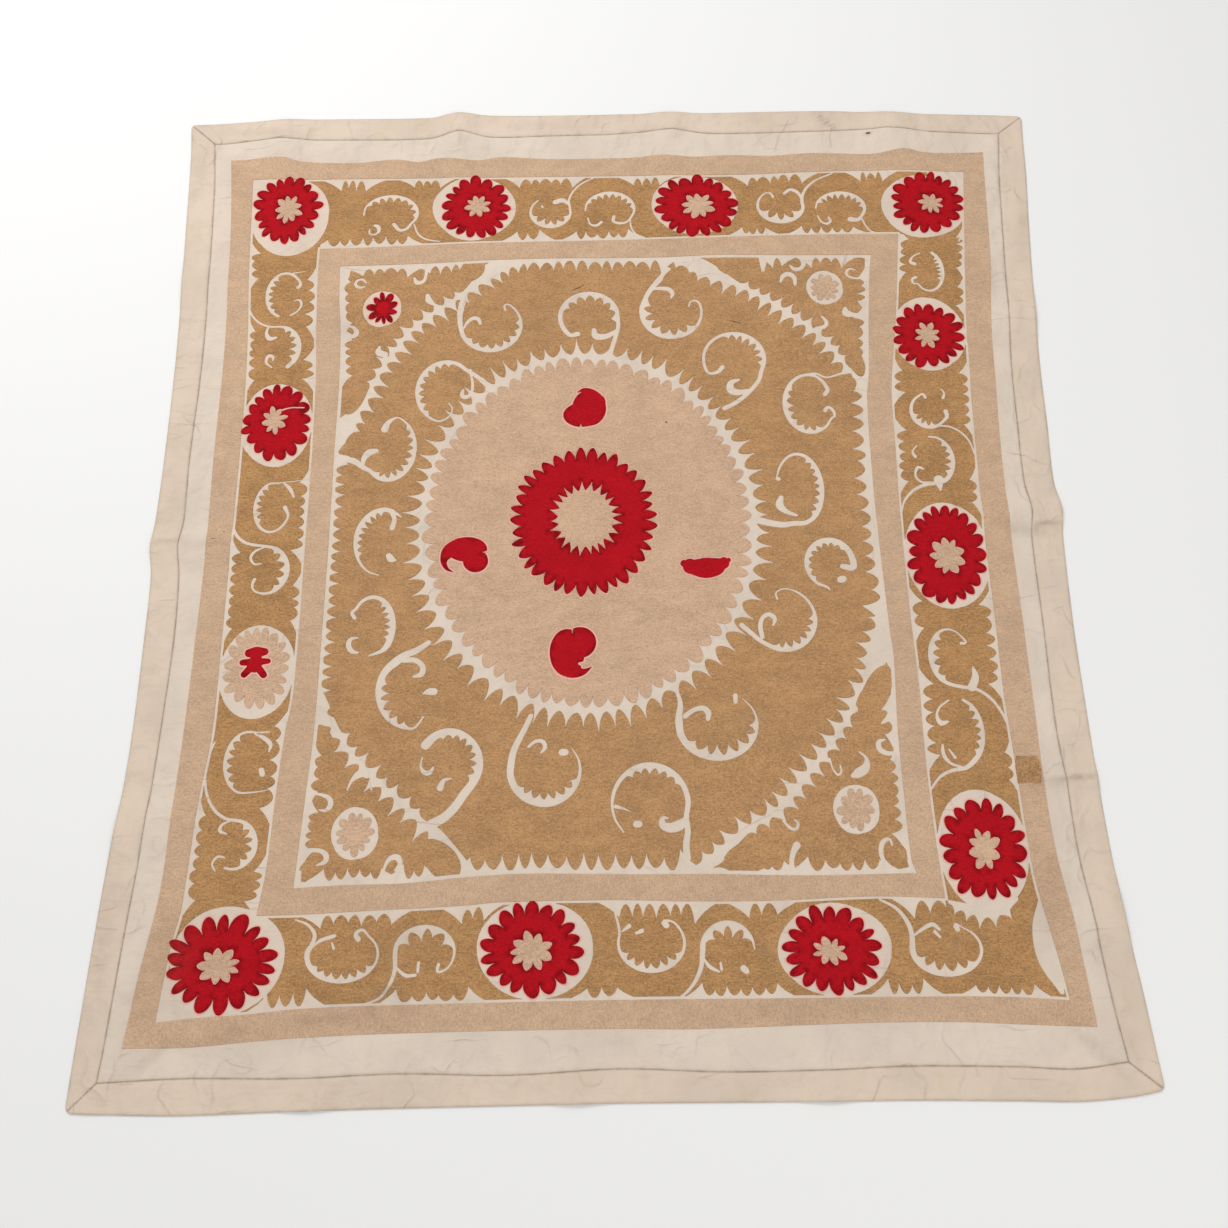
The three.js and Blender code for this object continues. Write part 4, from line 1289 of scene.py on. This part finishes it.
def grid_piece(name, columns, rows, place, thickness):
    """A closed sheet shaped from a grid; place gives x, y, z and the painted edge shade from column and row.
    """
    bpy.ops.object.select_all(action="DESELECT")
    bpy.ops.mesh.primitive_grid_add(
        x_subdivisions=columns, y_subdivisions=rows, size=2, location=(0, 0, 0)
    )
    piece = bpy.context.object
    piece.name = piece.data.name = name
    mesh = piece.data
    points = places_of(mesh)
    column = np.rint((points[:, 0] + 1) / 2 * columns).astype(int)
    row = np.rint((points[:, 1] + 1) / 2 * rows).astype(int)
    x, y, z, soil = place(column, row)
    mesh.vertices.foreach_set("co", in_frame(x, y, z).ravel())
    write_values(mesh, "edge_soil", soil)
    mesh.update()
    solid = piece.modifiers.new("Thickness", "SOLIDIFY")
    solid.thickness = thickness
    solid.offset = -1
    bpy.ops.object.modifier_apply(modifier=solid.name)
    points = places_of(mesh)
    points[:, 2] = np.maximum(points[:, 2], 0)
    mesh.vertices.foreach_set("co", points.ravel())
    edge = np.empty(len(mesh.vertices), np.float32)
    mesh.attributes["edge_soil"].data.foreach_get("value", edge)
    mesh.attributes.remove(mesh.attributes["edge_soil"])
    mesh.update()
    # The edge values join the stains as painted shade.
    add_wear_and_shade(mesh, edge)
    bpy.ops.object.shade_smooth_by_angle(angle=math.radians(50))
    return piece


def stations(length, step, fine):
    """Shares of a length with fine lines, in millimetres, near both ends."""
    margin = fine[-1] + step * 0.6
    inner = np.linspace(margin, length - margin, int(length / step))
    return np.concatenate((fine, inner, length - np.array(fine)[::-1])) / length


class CLOTH_OT_ground(bpy.types.Operator):
    """Lays the off-white cotton panel on its folds"""

    bl_idname = "cloth.ground"
    bl_label = "Ground cloth"

    def execute(self, context):
        sizes, colors = context.scene.cloth_sizes, context.scene.cloth_colors
        step = sizes.mesh_step * 1000
        thickness = sizes.thickness * 1000
        fine = (0, 0.8, 2.0, 4.5)
        across, along = stations(PANEL_WIDTH, step, fine), stations(PANEL_HEIGHT, step, fine)

        def place(column, row):
            u, v = across[column], along[row]
            lines = {
                side: side_line(SEAM_CORNERS, side, 2, v if side in UPRIGHT else u) for side in SIDES
            }
            out = []
            for axis in (0, 1):
                corner = {name: c[axis] for name, c in SEAM_CORNERS.items()}
                sides = (1 - u) * lines["left"][axis] + u * lines["right"][axis]
                ends = (1 - v) * lines["bottom"][axis] + v * lines["top"][axis]
                low = (1 - u) * corner["bottom_left"] + u * corner["bottom_right"]
                high = (1 - u) * corner["top_left"] + u * corner["top_right"]
                share = u if axis == 0 else v
                out.append(sides + ends - (1 - v) * low - v * high + 0.15 * (1 - 2 * share))
            x, y = out
            near = np.minimum(np.minimum(u, 1 - u) * PANEL_WIDTH, np.minimum(v, 1 - v) * PANEL_HEIGHT)
            z = lie(x, y, thickness) - fading(0.9, near, 1.9) + 0.35 * hump(near - 5, 9)
            # The last value is painted shade, darkest right at the seam.
            return x, y, z, fading(0.5, near, 1.3)

        piece = grid_piece("ground_sheet", len(across) - 1, len(along) - 1, place, sizes.thickness)
        material = cotton("Washed off-white cotton", tuple(colors.ground), colors, 0.30, True)
        piece.data.materials.append(material)
        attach(piece, "root")
        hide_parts("ground_cloth")
        return {"FINISHED"}


def rounded(x, y, radius=8.0):
    """Points near a corner of the cloth drawn in onto a rounded one."""
    for corner in CLOTH_CORNERS.values():
        sx, sy = (1 if corner.x > 0 else -1), (1 if corner.y > 0 else -1)
        dx, dy = (x - (corner.x - sx * radius)) * sx, (y - (corner.y - sy * radius)) * sy
        distance = np.maximum(np.hypot(dx, dy), 1e-9)
        pull = np.where((dx > 0) & (dy > 0), np.maximum(dx, dy) / distance, 1.0)
        x = x + sx * dx * (pull - 1)
        y = y + sy * dy * (pull - 1)
    return x, y


class CLOTH_OT_strips(bpy.types.Operator):
    """Lays the four cream cotton strips round the panel, mitred at the corners"""

    bl_idname = "cloth.strips"
    bl_label = "Border strips"

    def execute(self, context):
        sizes, colors = context.scene.cloth_sizes, context.scene.cloth_colors
        thickness = sizes.thickness * 1000
        material = cotton("Cream strip cotton", tuple(colors.strip), colors, 0.55, False)
        for side, length in STRIP_LENGTHS.items():
            upright = side in UPRIGHT
            runs = stations(length, sizes.mesh_step * 1000 * 0.8, (0, 1.2, 4.0))
            outward = -1 if side in ("left", "bottom") else 1
            outs = np.array(STRIP_LINES)[::outward]

            def place(column, row):
                t, out = runs[row if upright else column], outs[column if upright else row]
                seam = side_line(SEAM_CORNERS, side, 2, t)
                edge = side_line(CLOTH_CORNERS, side, 1, t)
                x = seam[0] + (edge[0] - seam[0]) * out
                y = seam[1] + (edge[1] - seam[1]) * out
                trim, off = 0.25 * (1 - 2 * t), outward * 0.15 * (1 - out)
                x, y = (x + off, y + trim) if upright else (x + trim, y + off)
                near, far = out * STRIP_WIDTH, (1 - out) * STRIP_WIDTH
                ends = np.minimum(t, 1 - t) * length
                z = lie(x, y, thickness) - fading(0.9, near, 1.9) + 0.45 * hump(near - 5, 9)
                z = z - fading(0.5, ends, 2.2)
                z = z + 0.35 * hump(far - 4, 8) - fading(0.9, far, 0.8)
                x, y = rounded(x, y)
                # Painted shade along the seam, along the outer edge and at the mitred ends.
                soil = np.maximum(fading(0.5, near, 1.3), fading(0.26, far, 2.5))
                return x, y, z, np.maximum(soil, fading(0.5, ends, 1.6))

            cells = (len(outs) - 1, len(runs) - 1) if upright else (len(runs) - 1, len(outs) - 1)
            piece = grid_piece(f"strip_{side}", *cells, place, sizes.thickness)
            piece.data.materials.append(material)
            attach(piece, "root")
            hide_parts(f"border_strip_{side}")
        return {"FINISHED"}


class CLOTH_OT_seams(bpy.types.Operator):
    """Sews the running stitches along the seams, the mitres and the short join"""

    bl_idname = "cloth.seams"
    bl_label = "Seam stitching"

    def execute(self, context):
        sizes, colors = context.scene.cloth_sizes, context.scene.cloth_colors
        thickness, length = sizes.thickness * 1000, sizes.stitch_length * 1000
        bpy.ops.object.select_all(action="DESELECT")
        bpy.ops.mesh.primitive_uv_sphere_add(segments=6, ring_count=4, radius=0.5, location=(0, 0, 0))
        pattern = bpy.context.object
        bpy.ops.object.mode_set(mode="EDIT")
        bpy.ops.mesh.select_all(action="SELECT")
        bpy.ops.transform.resize(value=(length, 0.6, 0.6))
        bpy.ops.object.mode_set(mode="OBJECT")
        mesh = pattern.data
        one = places_of(mesh)
        one_faces = [list(p.vertices) for p in mesh.polygons]
        bpy.data.objects.remove(pattern)
        bpy.data.meshes.remove(mesh)
        rng = random.Random(11)
        paths = []
        t = np.linspace(0, 1, 400)
        for side in SIDES:
            x, y = side_line(SEAM_CORNERS, side, 2, t)
            paths.append((f"seam_{side}", np.column_stack((x, y))))
        for name, corner in CLOTH_CORNERS.items():
            seam = SEAM_CORNERS[name]
            share = np.linspace(0.05, 0.84, 30)
            x, y = seam.x + (corner.x - seam.x) * share, seam.y + (corner.y - seam.y) * share
            paths.append(("seam_corners", np.column_stack((x, y))))
        paths.append(("seam_corners", np.array(SHORT_JOIN, float)))
        groups = {}
        for name, path in paths:
            reach = length_along(path)
            pitch = sizes.stitch_pitch * 1000
            layers = groups.setdefault(name, [])
            for number in range(int(reach[-1] / pitch)):
                at = (number + 0.5 + rng.uniform(-0.12, 0.12)) * pitch
                x, y = np.interp(at, reach, path[:, 0]), np.interp(at, reach, path[:, 1])
                ahead = np.interp(at + 1, reach, path[:, 0]) - x, np.interp(at + 1, reach, path[:, 1]) - y
                turn = math.atan2(ahead[1], ahead[0]) + rng.uniform(-0.12, 0.12)
                points = one * (1 + rng.uniform(-0.2, 0.25), 1, 1)
                px, py = turned_by(points[:, 0], points[:, 1], turn)
                pz = lie(x, y, thickness) - STITCH_DEPTH + points[:, 2]
                layers.append((in_frame(x + px, y + py, pz), one_faces))
        material = thread("Seam thread", tuple(colors.seam), colors, 0.12)
        for name, layers in sorted(groups.items()):
            new_piece(name, *joined(layers), material, "strip_cotton", sharp=80)
        return {"FINISHED"}


class CLOTH_OT_frames(bpy.types.Operator):
    """Works the outer and inner plain frames and the mend in the right one"""

    bl_idname = "cloth.frames"
    bl_label = "Plain frames"

    def execute(self, context):
        sizes, colors = context.scene.cloth_sizes, context.scene.cloth_colors
        relief = sizes.thread_relief * 1000
        material = thread("Frame thread", tuple(colors.frame), colors, 0.10, 1.1, framed=True)
        rng = random.Random(5)
        low = np.array((PATCH.left, PATCH.bottom))
        high = np.array((PATCH.right, PATCH.top))
        mend = np.array([
            low + (high - low) * share + (rng.uniform(-1.2, 1.2), rng.uniform(-1.2, 1.2))
            for share in PATCH_OUTLINE
        ])
        for name, line, cuts in (
            ("outer_frame", OUTER_OUT, [loop_of(OUTER_IN), mend]),
            ("inner_frame", INNER_OUT, [loop_of(INNER_IN)]),
        ):
            worked(context, name, [loop_of(line)], cuts, relief, material, 10)
        brown = thread("Mend thread", tuple(colors.brown), colors, 0.2)
        centre = mend.mean(axis=0)
        worked(context, "frame_mend", [centre + (mend - centre) * 0.985], [], relief + 0.1, brown, 8)
        return {"FINISHED"}


# The lines that notches bite from: stations, the sign of the khaki work's side, upright or not
FRAME_LINES = {
    f"{name}_{side}": (rows[side], sign if side in ("left", "bottom") else -sign, side in UPRIGHT)
    for name, rows, sign in (("outer", OUTER_IN, 1), ("inner", INNER_OUT, -1), ("field", INNER_IN, 1))
    for side in SIDES
}


class CLOTH_OT_border(bpy.types.Operator):
    """Works the khaki scrolls of the border, leaving the white lines bare"""

    bl_idname = "cloth.border"
    bl_label = "Border scrolls"

    def execute(self, context):
        sizes, colors = context.scene.cloth_sizes, context.scene.cloth_colors
        cuts = [loop_of(INNER_OUT, 3.6)]
        cuts += [toothed_round(r, 5, 1.5, n, 2.0, wobble=0.015) for n, r in enumerate(RESERVES)]
        cuts += [scroll_outline(s, 100 + n) for n, s in enumerate(BORDER_SCROLLS)]
        cuts += [drawn(row) for row in BORDER_STROKES]
        bay = curve_through(LOBED_BAY, 2.5)
        cuts.append(stroke(bay[:, :2], bay[:, 2], [(-1, 0.04, 0.86, 5, 17)], 99, 1.7))
        cuts += [notched_line(FRAME_LINES, row, 200 + n) for n, row in enumerate(BORDER_NOTCHES)]
        for x0, x1, y0, y1 in BARE_CORNERS:
            cuts.append(np.array([(x0, y0), (x1, y0), (x1, y1), (x0, y1)], float))
        material = thread("Border thread", tuple(colors.border), colors, 0.17)

        def side_of(centre):
            x, y = centre
            if y > 560:
                return "border_scrolls_top"
            if y < -560:
                return "border_scrolls_bottom"
            return "border_scrolls_left" if x < 0 else "border_scrolls_right"

        worked(
            context, "border_scrolls", [loop_of(OUTER_IN, -3.8)], cuts,
            sizes.thread_relief * 1000, material, 10, side_of,
        )
        return {"FINISHED"}


class CLOTH_OT_ring(bpy.types.Operator):
    """Works the ring of scrolls round the medallion and the four corner sprays"""

    bl_idname = "cloth.ring"
    bl_label = "Ring and sprays"

    def execute(self, context):
        sizes, colors = context.scene.cloth_sizes, context.scene.cloth_colors
        cuts = [toothed_round(MEDALLION_REST, 72, 28, 7, 1.8, spiked=True, wobble=0.006)]
        cuts += [scroll_outline(s, 300 + n) for n, s in enumerate(RING_SCROLLS)]
        cuts += [drawn(row) for row in (*RING_STROKES, *SPRAY_STROKES)]
        cuts += [notched_line(FRAME_LINES, row, 400 + n) for n, row in enumerate(FIELD_NOTCHES)]
        cuts += [toothed_round(r, 5, 1.5, 50 + n, 2.0) for n, r in enumerate(CORNER_RESERVES)]
        for number, gap in enumerate(FIELD_GAPS):
            curve = curve_through(gap.points, 2.5)
            spray = 1 if gap.spray_side == "left" else -1
            length = np.hypot(*np.diff(curve[:, :2], axis=0).T).sum()
            few = round((gap.spray_to - gap.spray_from) * length / 22)
            teeth = [
                (spray, gap.spray_from, gap.spray_to, few, 17),
                (-spray, 0.06, 0.94, round(length / 27), 24),
            ]
            cuts.append(stroke(curve[:, :2], curve[:, 2], teeth, 500 + number, 1.6))
        material = thread("Khaki thread", tuple(colors.khaki), colors, 0.15)

        def part_of(centre):
            x, y = centre
            if abs(x) > 250 and abs(y) > 330:
                upper, left = y > 0, x < 0
                return f"spray_{'top' if upper else 'bottom'}_{'left' if left else 'right'}"
            return "scroll_ring"

        worked(
            context, "scroll_ring", [loop_of(INNER_IN, -5.5)], cuts,
            sizes.thread_relief * 1000, material, 10, part_of, [leaf_end(row) for row in LEAF_ENDS],
        )
        return {"FINISHED"}


class CLOTH_OT_rosettes(bpy.types.Operator):
    """Works the red rosettes with their hearts, the pale rosettes and the small ones"""

    bl_idname = "cloth.rosettes"
    bl_label = "Rosettes"

    def execute(self, context):
        sizes, colors = context.scene.cloth_sizes, context.scene.cloth_colors
        high, low = sizes.red_relief * 1000, sizes.thread_relief * 1000
        red = thread("Red thread", tuple(colors.red), colors, 0.10, grime_and_shade=0.4, rim_shade=0.8)
        pale = thread("Pale thread", tuple(colors.pale), colors, 0.12)
        pink = cotton("Cotton by the reds", tuple(colors.fringe), colors, 0.1, False)
        for number, (rosette, heart) in enumerate(zip(ROSETTES, HEARTS)):
            room, core = (
                toothed_round(
                    (heart.x, heart.y, heart.width / 2 + grow, heart.height / 2 + grow),
                    heart.points, 12, 600 + number, 1.2,
                )
                for grow in (HEART_ROOM, HEART_GROW)
            )
            cuts = [room]
            if rosette.name == ROSETTE_SLIT[0]:
                cuts.append(drawn(ROSETTE_SLIT[1]))
            outline = petals_of(rosette, number + 1)
            fringe = petals_of(rosette, number + 1, 1.9, FRINGE)
            worked(context, f"dye_{rosette.name}", [fringe], [], 0.2, pink, 9)
            worked(context, f"rosette_{rosette.name}", [outline], cuts, high, red, 8)
            worked(context, f"heart_{rosette.name}", [core], [], low, pale, 7)
        fringe, room, figure = ([drawn(row, wider) for row in RED_FIGURE] for wider in (5, 2.6, 0))
        small = petals_of(CORNER_ROSETTE, 17, 1.9, FRINGE)
        worked(context, "dye_star", fringe, [], low + 0.1, pink, 7)
        worked(context, "dye_small_red", [small], [], 0.2, pink, 7)
        worked(context, "rosette_pale_left", [petals_of(PALE_ROSETTE, 21, 1.7)], room, low, pale, 8)
        worked(context, "star_left", figure, [], high, red, 7)
        worked(context, "rosette_small_red", [petals_of(CORNER_ROSETTE, 17, 1.6)], [], high, red, 7)
        for number, row in enumerate(PALE_BUTTONS):
            outline = petals_of(row, 30 + number)
            worked(context, f"rosette_{row.name}", [outline], [], low, pale, 7)
        return {"FINISHED"}


class CLOTH_OT_medallion(bpy.types.Operator):
    """Works the large medallion with its red ring and leaves"""

    bl_idname = "cloth.medallion"
    bl_label = "Medallion"

    def execute(self, context):
        sizes, colors = context.scene.cloth_sizes, context.scene.cloth_colors
        high, low = sizes.red_relief * 1000, sizes.thread_relief * 1000
        red = thread("Medallion red thread", tuple(colors.red), colors, 0.10, grime_and_shade=0.4, rim_shade=0.8)
        beige = thread("Medallion thread", tuple(colors.medallion), colors, 0.11)

        def ring_line(grow):
            oval = (RED_RING.x, RED_RING.y, RED_RING.rx + grow, RED_RING.ry + grow)
            return toothed_round(oval, 37, 20, 41, 1.5, wobble=0.008)

        def hole_line(grow):
            hole = RED_RING_HOLE
            oval = (hole.x, hole.y, hole.rx + grow, hole.ry + grow)
            return toothed_round(oval, 24, 15, 43, 1.4, spiked=True, wobble=0.012)

        outline = toothed_round(MEDALLION, 72, 22, 47, 1.85, wobble=0.006)
        pink = cotton("Cotton by the ring", tuple(colors.fringe), colors, 0.1, False)
        grown = [leaf_outlines(leaf, FRINGE) for leaf in LEAVES]
        nicks = [nick for _, nicks in grown for nick in nicks]
        cuts = [ring_line(1.8), *[solid for solids, _ in grown for solid in solids]]
        worked(context, "medallion", [outline], cuts, low, beige, 11, kept=nicks)
        worked(context, "medallion_heart", [hole_line(-1.2)], [], low, beige, 9)
        worked(context, "red_ring", [ring_line(0)], [hole_line(0)], high, red, 8)
        worked(context, "dye_ring", [ring_line(3.0)], [hole_line(-3.5)], 0.3, pink, 9)
        for leaf in LEAVES:
            worked(context, f"dye_leaf_{leaf.name}", leaf_outlines(leaf, 3.6)[0], [], 0.3, pink, 8)
            worked(context, f"leaf_{leaf.name}", *leaf_outlines(leaf), high, red, 7)
        return {"FINISHED"}


class CLOTH_OT_specks(bpy.types.Operator):
    """Adds the few dark specks of caught fibre"""

    bl_idname = "cloth.specks"
    bl_label = "Specks"

    def execute(self, context):
        colors = context.scene.cloth_colors
        relief = context.scene.cloth_sizes.thread_relief * 1000
        dark = thread("Dark fibre", shade_of(tuple(colors.soil), 0.45), colors, 0.2)
        outlines = [
            toothed_round((x, y, w / 2, h / 2), 5, 0.8, 70 + n, 2.0, wobble=0.1)
            for n, (x, y, w, h) in enumerate(SPECKS)
        ]
        outlines += [drawn(row) for row in STREAKS]
        thickness = context.scene.cloth_sizes.thickness * 1000
        layers = []
        for outline in outlines:
            plan, triangles = filled([outline], [], 6)
            layers.append(shell(plan, triangles, relief + 0.25, thickness, rim=0.3))
        new_piece("specks", *joined(layers), dark, "ground_cotton", sharp=60)
        return {"FINISHED"}


class CLOTH_OT_declare(bpy.types.Operator):
    """Goes through the strips' flat lengths and picks out the seam pieces on each; nothing more is done with
    them
    """

    bl_idname = "cloth.declare"
    bl_label = "Flat sizes"

    def execute(self, context):
        seams = [o for o in bpy.data.objects if o.name.startswith("seam_")]
        for side, length in STRIP_FLAT_LENGTHS.items():
            with_it = [o for o in seams if o.name == f"seam_{side}"]
            if side == "bottom":
                with_it += [o for o in seams if o.name == "seam_corners"]
        return {"FINISHED"}


class CLOTH_OT_stage(bpy.types.Operator):
    """Sets up the pale floor, soft lights and the camera"""

    bl_idname = "cloth.stage"
    bl_label = "Floor, light and camera"

    def execute(self, context):
        colors = context.scene.cloth_colors
        bpy.ops.object.select_all(action="DESELECT")
        bpy.ops.mesh.primitive_plane_add(size=FLOOR_SIZE, location=(0, 0, -FLOOR_DROP))
        floor = context.object
        floor.name = "floor"
        paint = bpy.data.materials.new("Plain pale floor")
        paint.use_nodes = True
        surface = paint.node_tree.nodes["Principled BSDF"]
        surface.inputs["Base Color"].default_value = (*colors.floor, 1)
        surface.inputs["Roughness"].default_value = 0.85
        floor.data.materials.append(paint)
        floor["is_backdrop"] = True
        world = bpy.data.worlds.new("Soft daylight")
        context.scene.world = world
        world.use_nodes = True
        background = world.node_tree.nodes["Background"]
        background.inputs[0].default_value = (1.0, 1.0, 1.0, 1)
        background.inputs[1].default_value = SKY_STRENGTH
        for lamp in LAMPS:
            bpy.ops.object.light_add(type="AREA", location=lamp.place)
            light = context.object
            light.name = light.data.name = lamp.name
            light.data.shape = "SQUARE"
            light.data.size = lamp.width
            light.data.energy = lamp.power
            light.rotation_euler = (-Vector(lamp.place)).to_track_quat("-Z", "Y").to_euler()
        around, raised, roll = (math.radians(n) for n in CAMERA[:3])
        back = Vector((
            math.sin(around) * math.cos(raised), -math.cos(around) * math.cos(raised), math.sin(raised),
        ))
        right = Vector((0, 0, 1)).cross(back).normalized()
        up = back.cross(right)
        level = right * math.cos(roll) + up * math.sin(roll)
        upright = up * math.cos(roll) - right * math.sin(roll)
        target = Vector((
            CAMERA.target[0] - CLOTH_CENTRE[0] / 1000, CAMERA.target[1] - CLOTH_CENTRE[1] / 1000, 0,
        ))
        bpy.ops.object.camera_add(location=(0, 0, 0))
        camera = context.object
        camera.data.sensor_width = CAMERA.sensor
        camera.data.lens = CAMERA.lens
        turned = Matrix((level, upright, back)).transposed().to_4x4()
        camera.matrix_world = Matrix.Translation(target + back * CAMERA.distance) @ turned
        context.scene.camera = camera
        context.scene.view_settings.view_transform = "Standard"
        return {"FINISHED"}


class CLOTH_PT_panel(bpy.types.Panel):
    """The steps, sizes and colours of the tablecloth"""

    bl_idname = "CLOTH_PT_panel"
    bl_label = "Embroidered tablecloth"
    bl_space_type = "VIEW_3D"
    bl_region_type = "UI"
    bl_category = "Tablecloth"

    def draw(self, context):
        for step in STEPS:
            self.layout.operator(step.bl_idname)
        for group in (context.scene.cloth_sizes, context.scene.cloth_colors):
            for key in type(group).__annotations__:
                self.layout.prop(group, key)


STEPS = (
    CLOTH_OT_stage, CLOTH_OT_ground, CLOTH_OT_strips, CLOTH_OT_frames, CLOTH_OT_border,
    CLOTH_OT_ring, CLOTH_OT_rosettes, CLOTH_OT_medallion, CLOTH_OT_specks, CLOTH_OT_seams,
    CLOTH_OT_declare,
)
CLASSES = (ClothSizes, ClothColors, *STEPS, CLOTH_PT_panel)


def register():
    """Makes the steps, sizes and colours known to the program."""
    for item in CLASSES:
        bpy.utils.register_class(item)
    bpy.types.Scene.cloth_sizes = bpy.props.PointerProperty(type=ClothSizes)
    bpy.types.Scene.cloth_colors = bpy.props.PointerProperty(type=ClothColors)


def unregister():
    """Takes them back out."""
    del bpy.types.Scene.cloth_sizes
    del bpy.types.Scene.cloth_colors
    for item in reversed(CLASSES):
        bpy.utils.unregister_class(item)


def main():
    """Takes all the steps in order."""
    register()
    for step in STEPS:
        group, name = step.bl_idname.split(".")
        getattr(getattr(bpy.ops, group), name)()


if __name__ == "__main__":
    main()
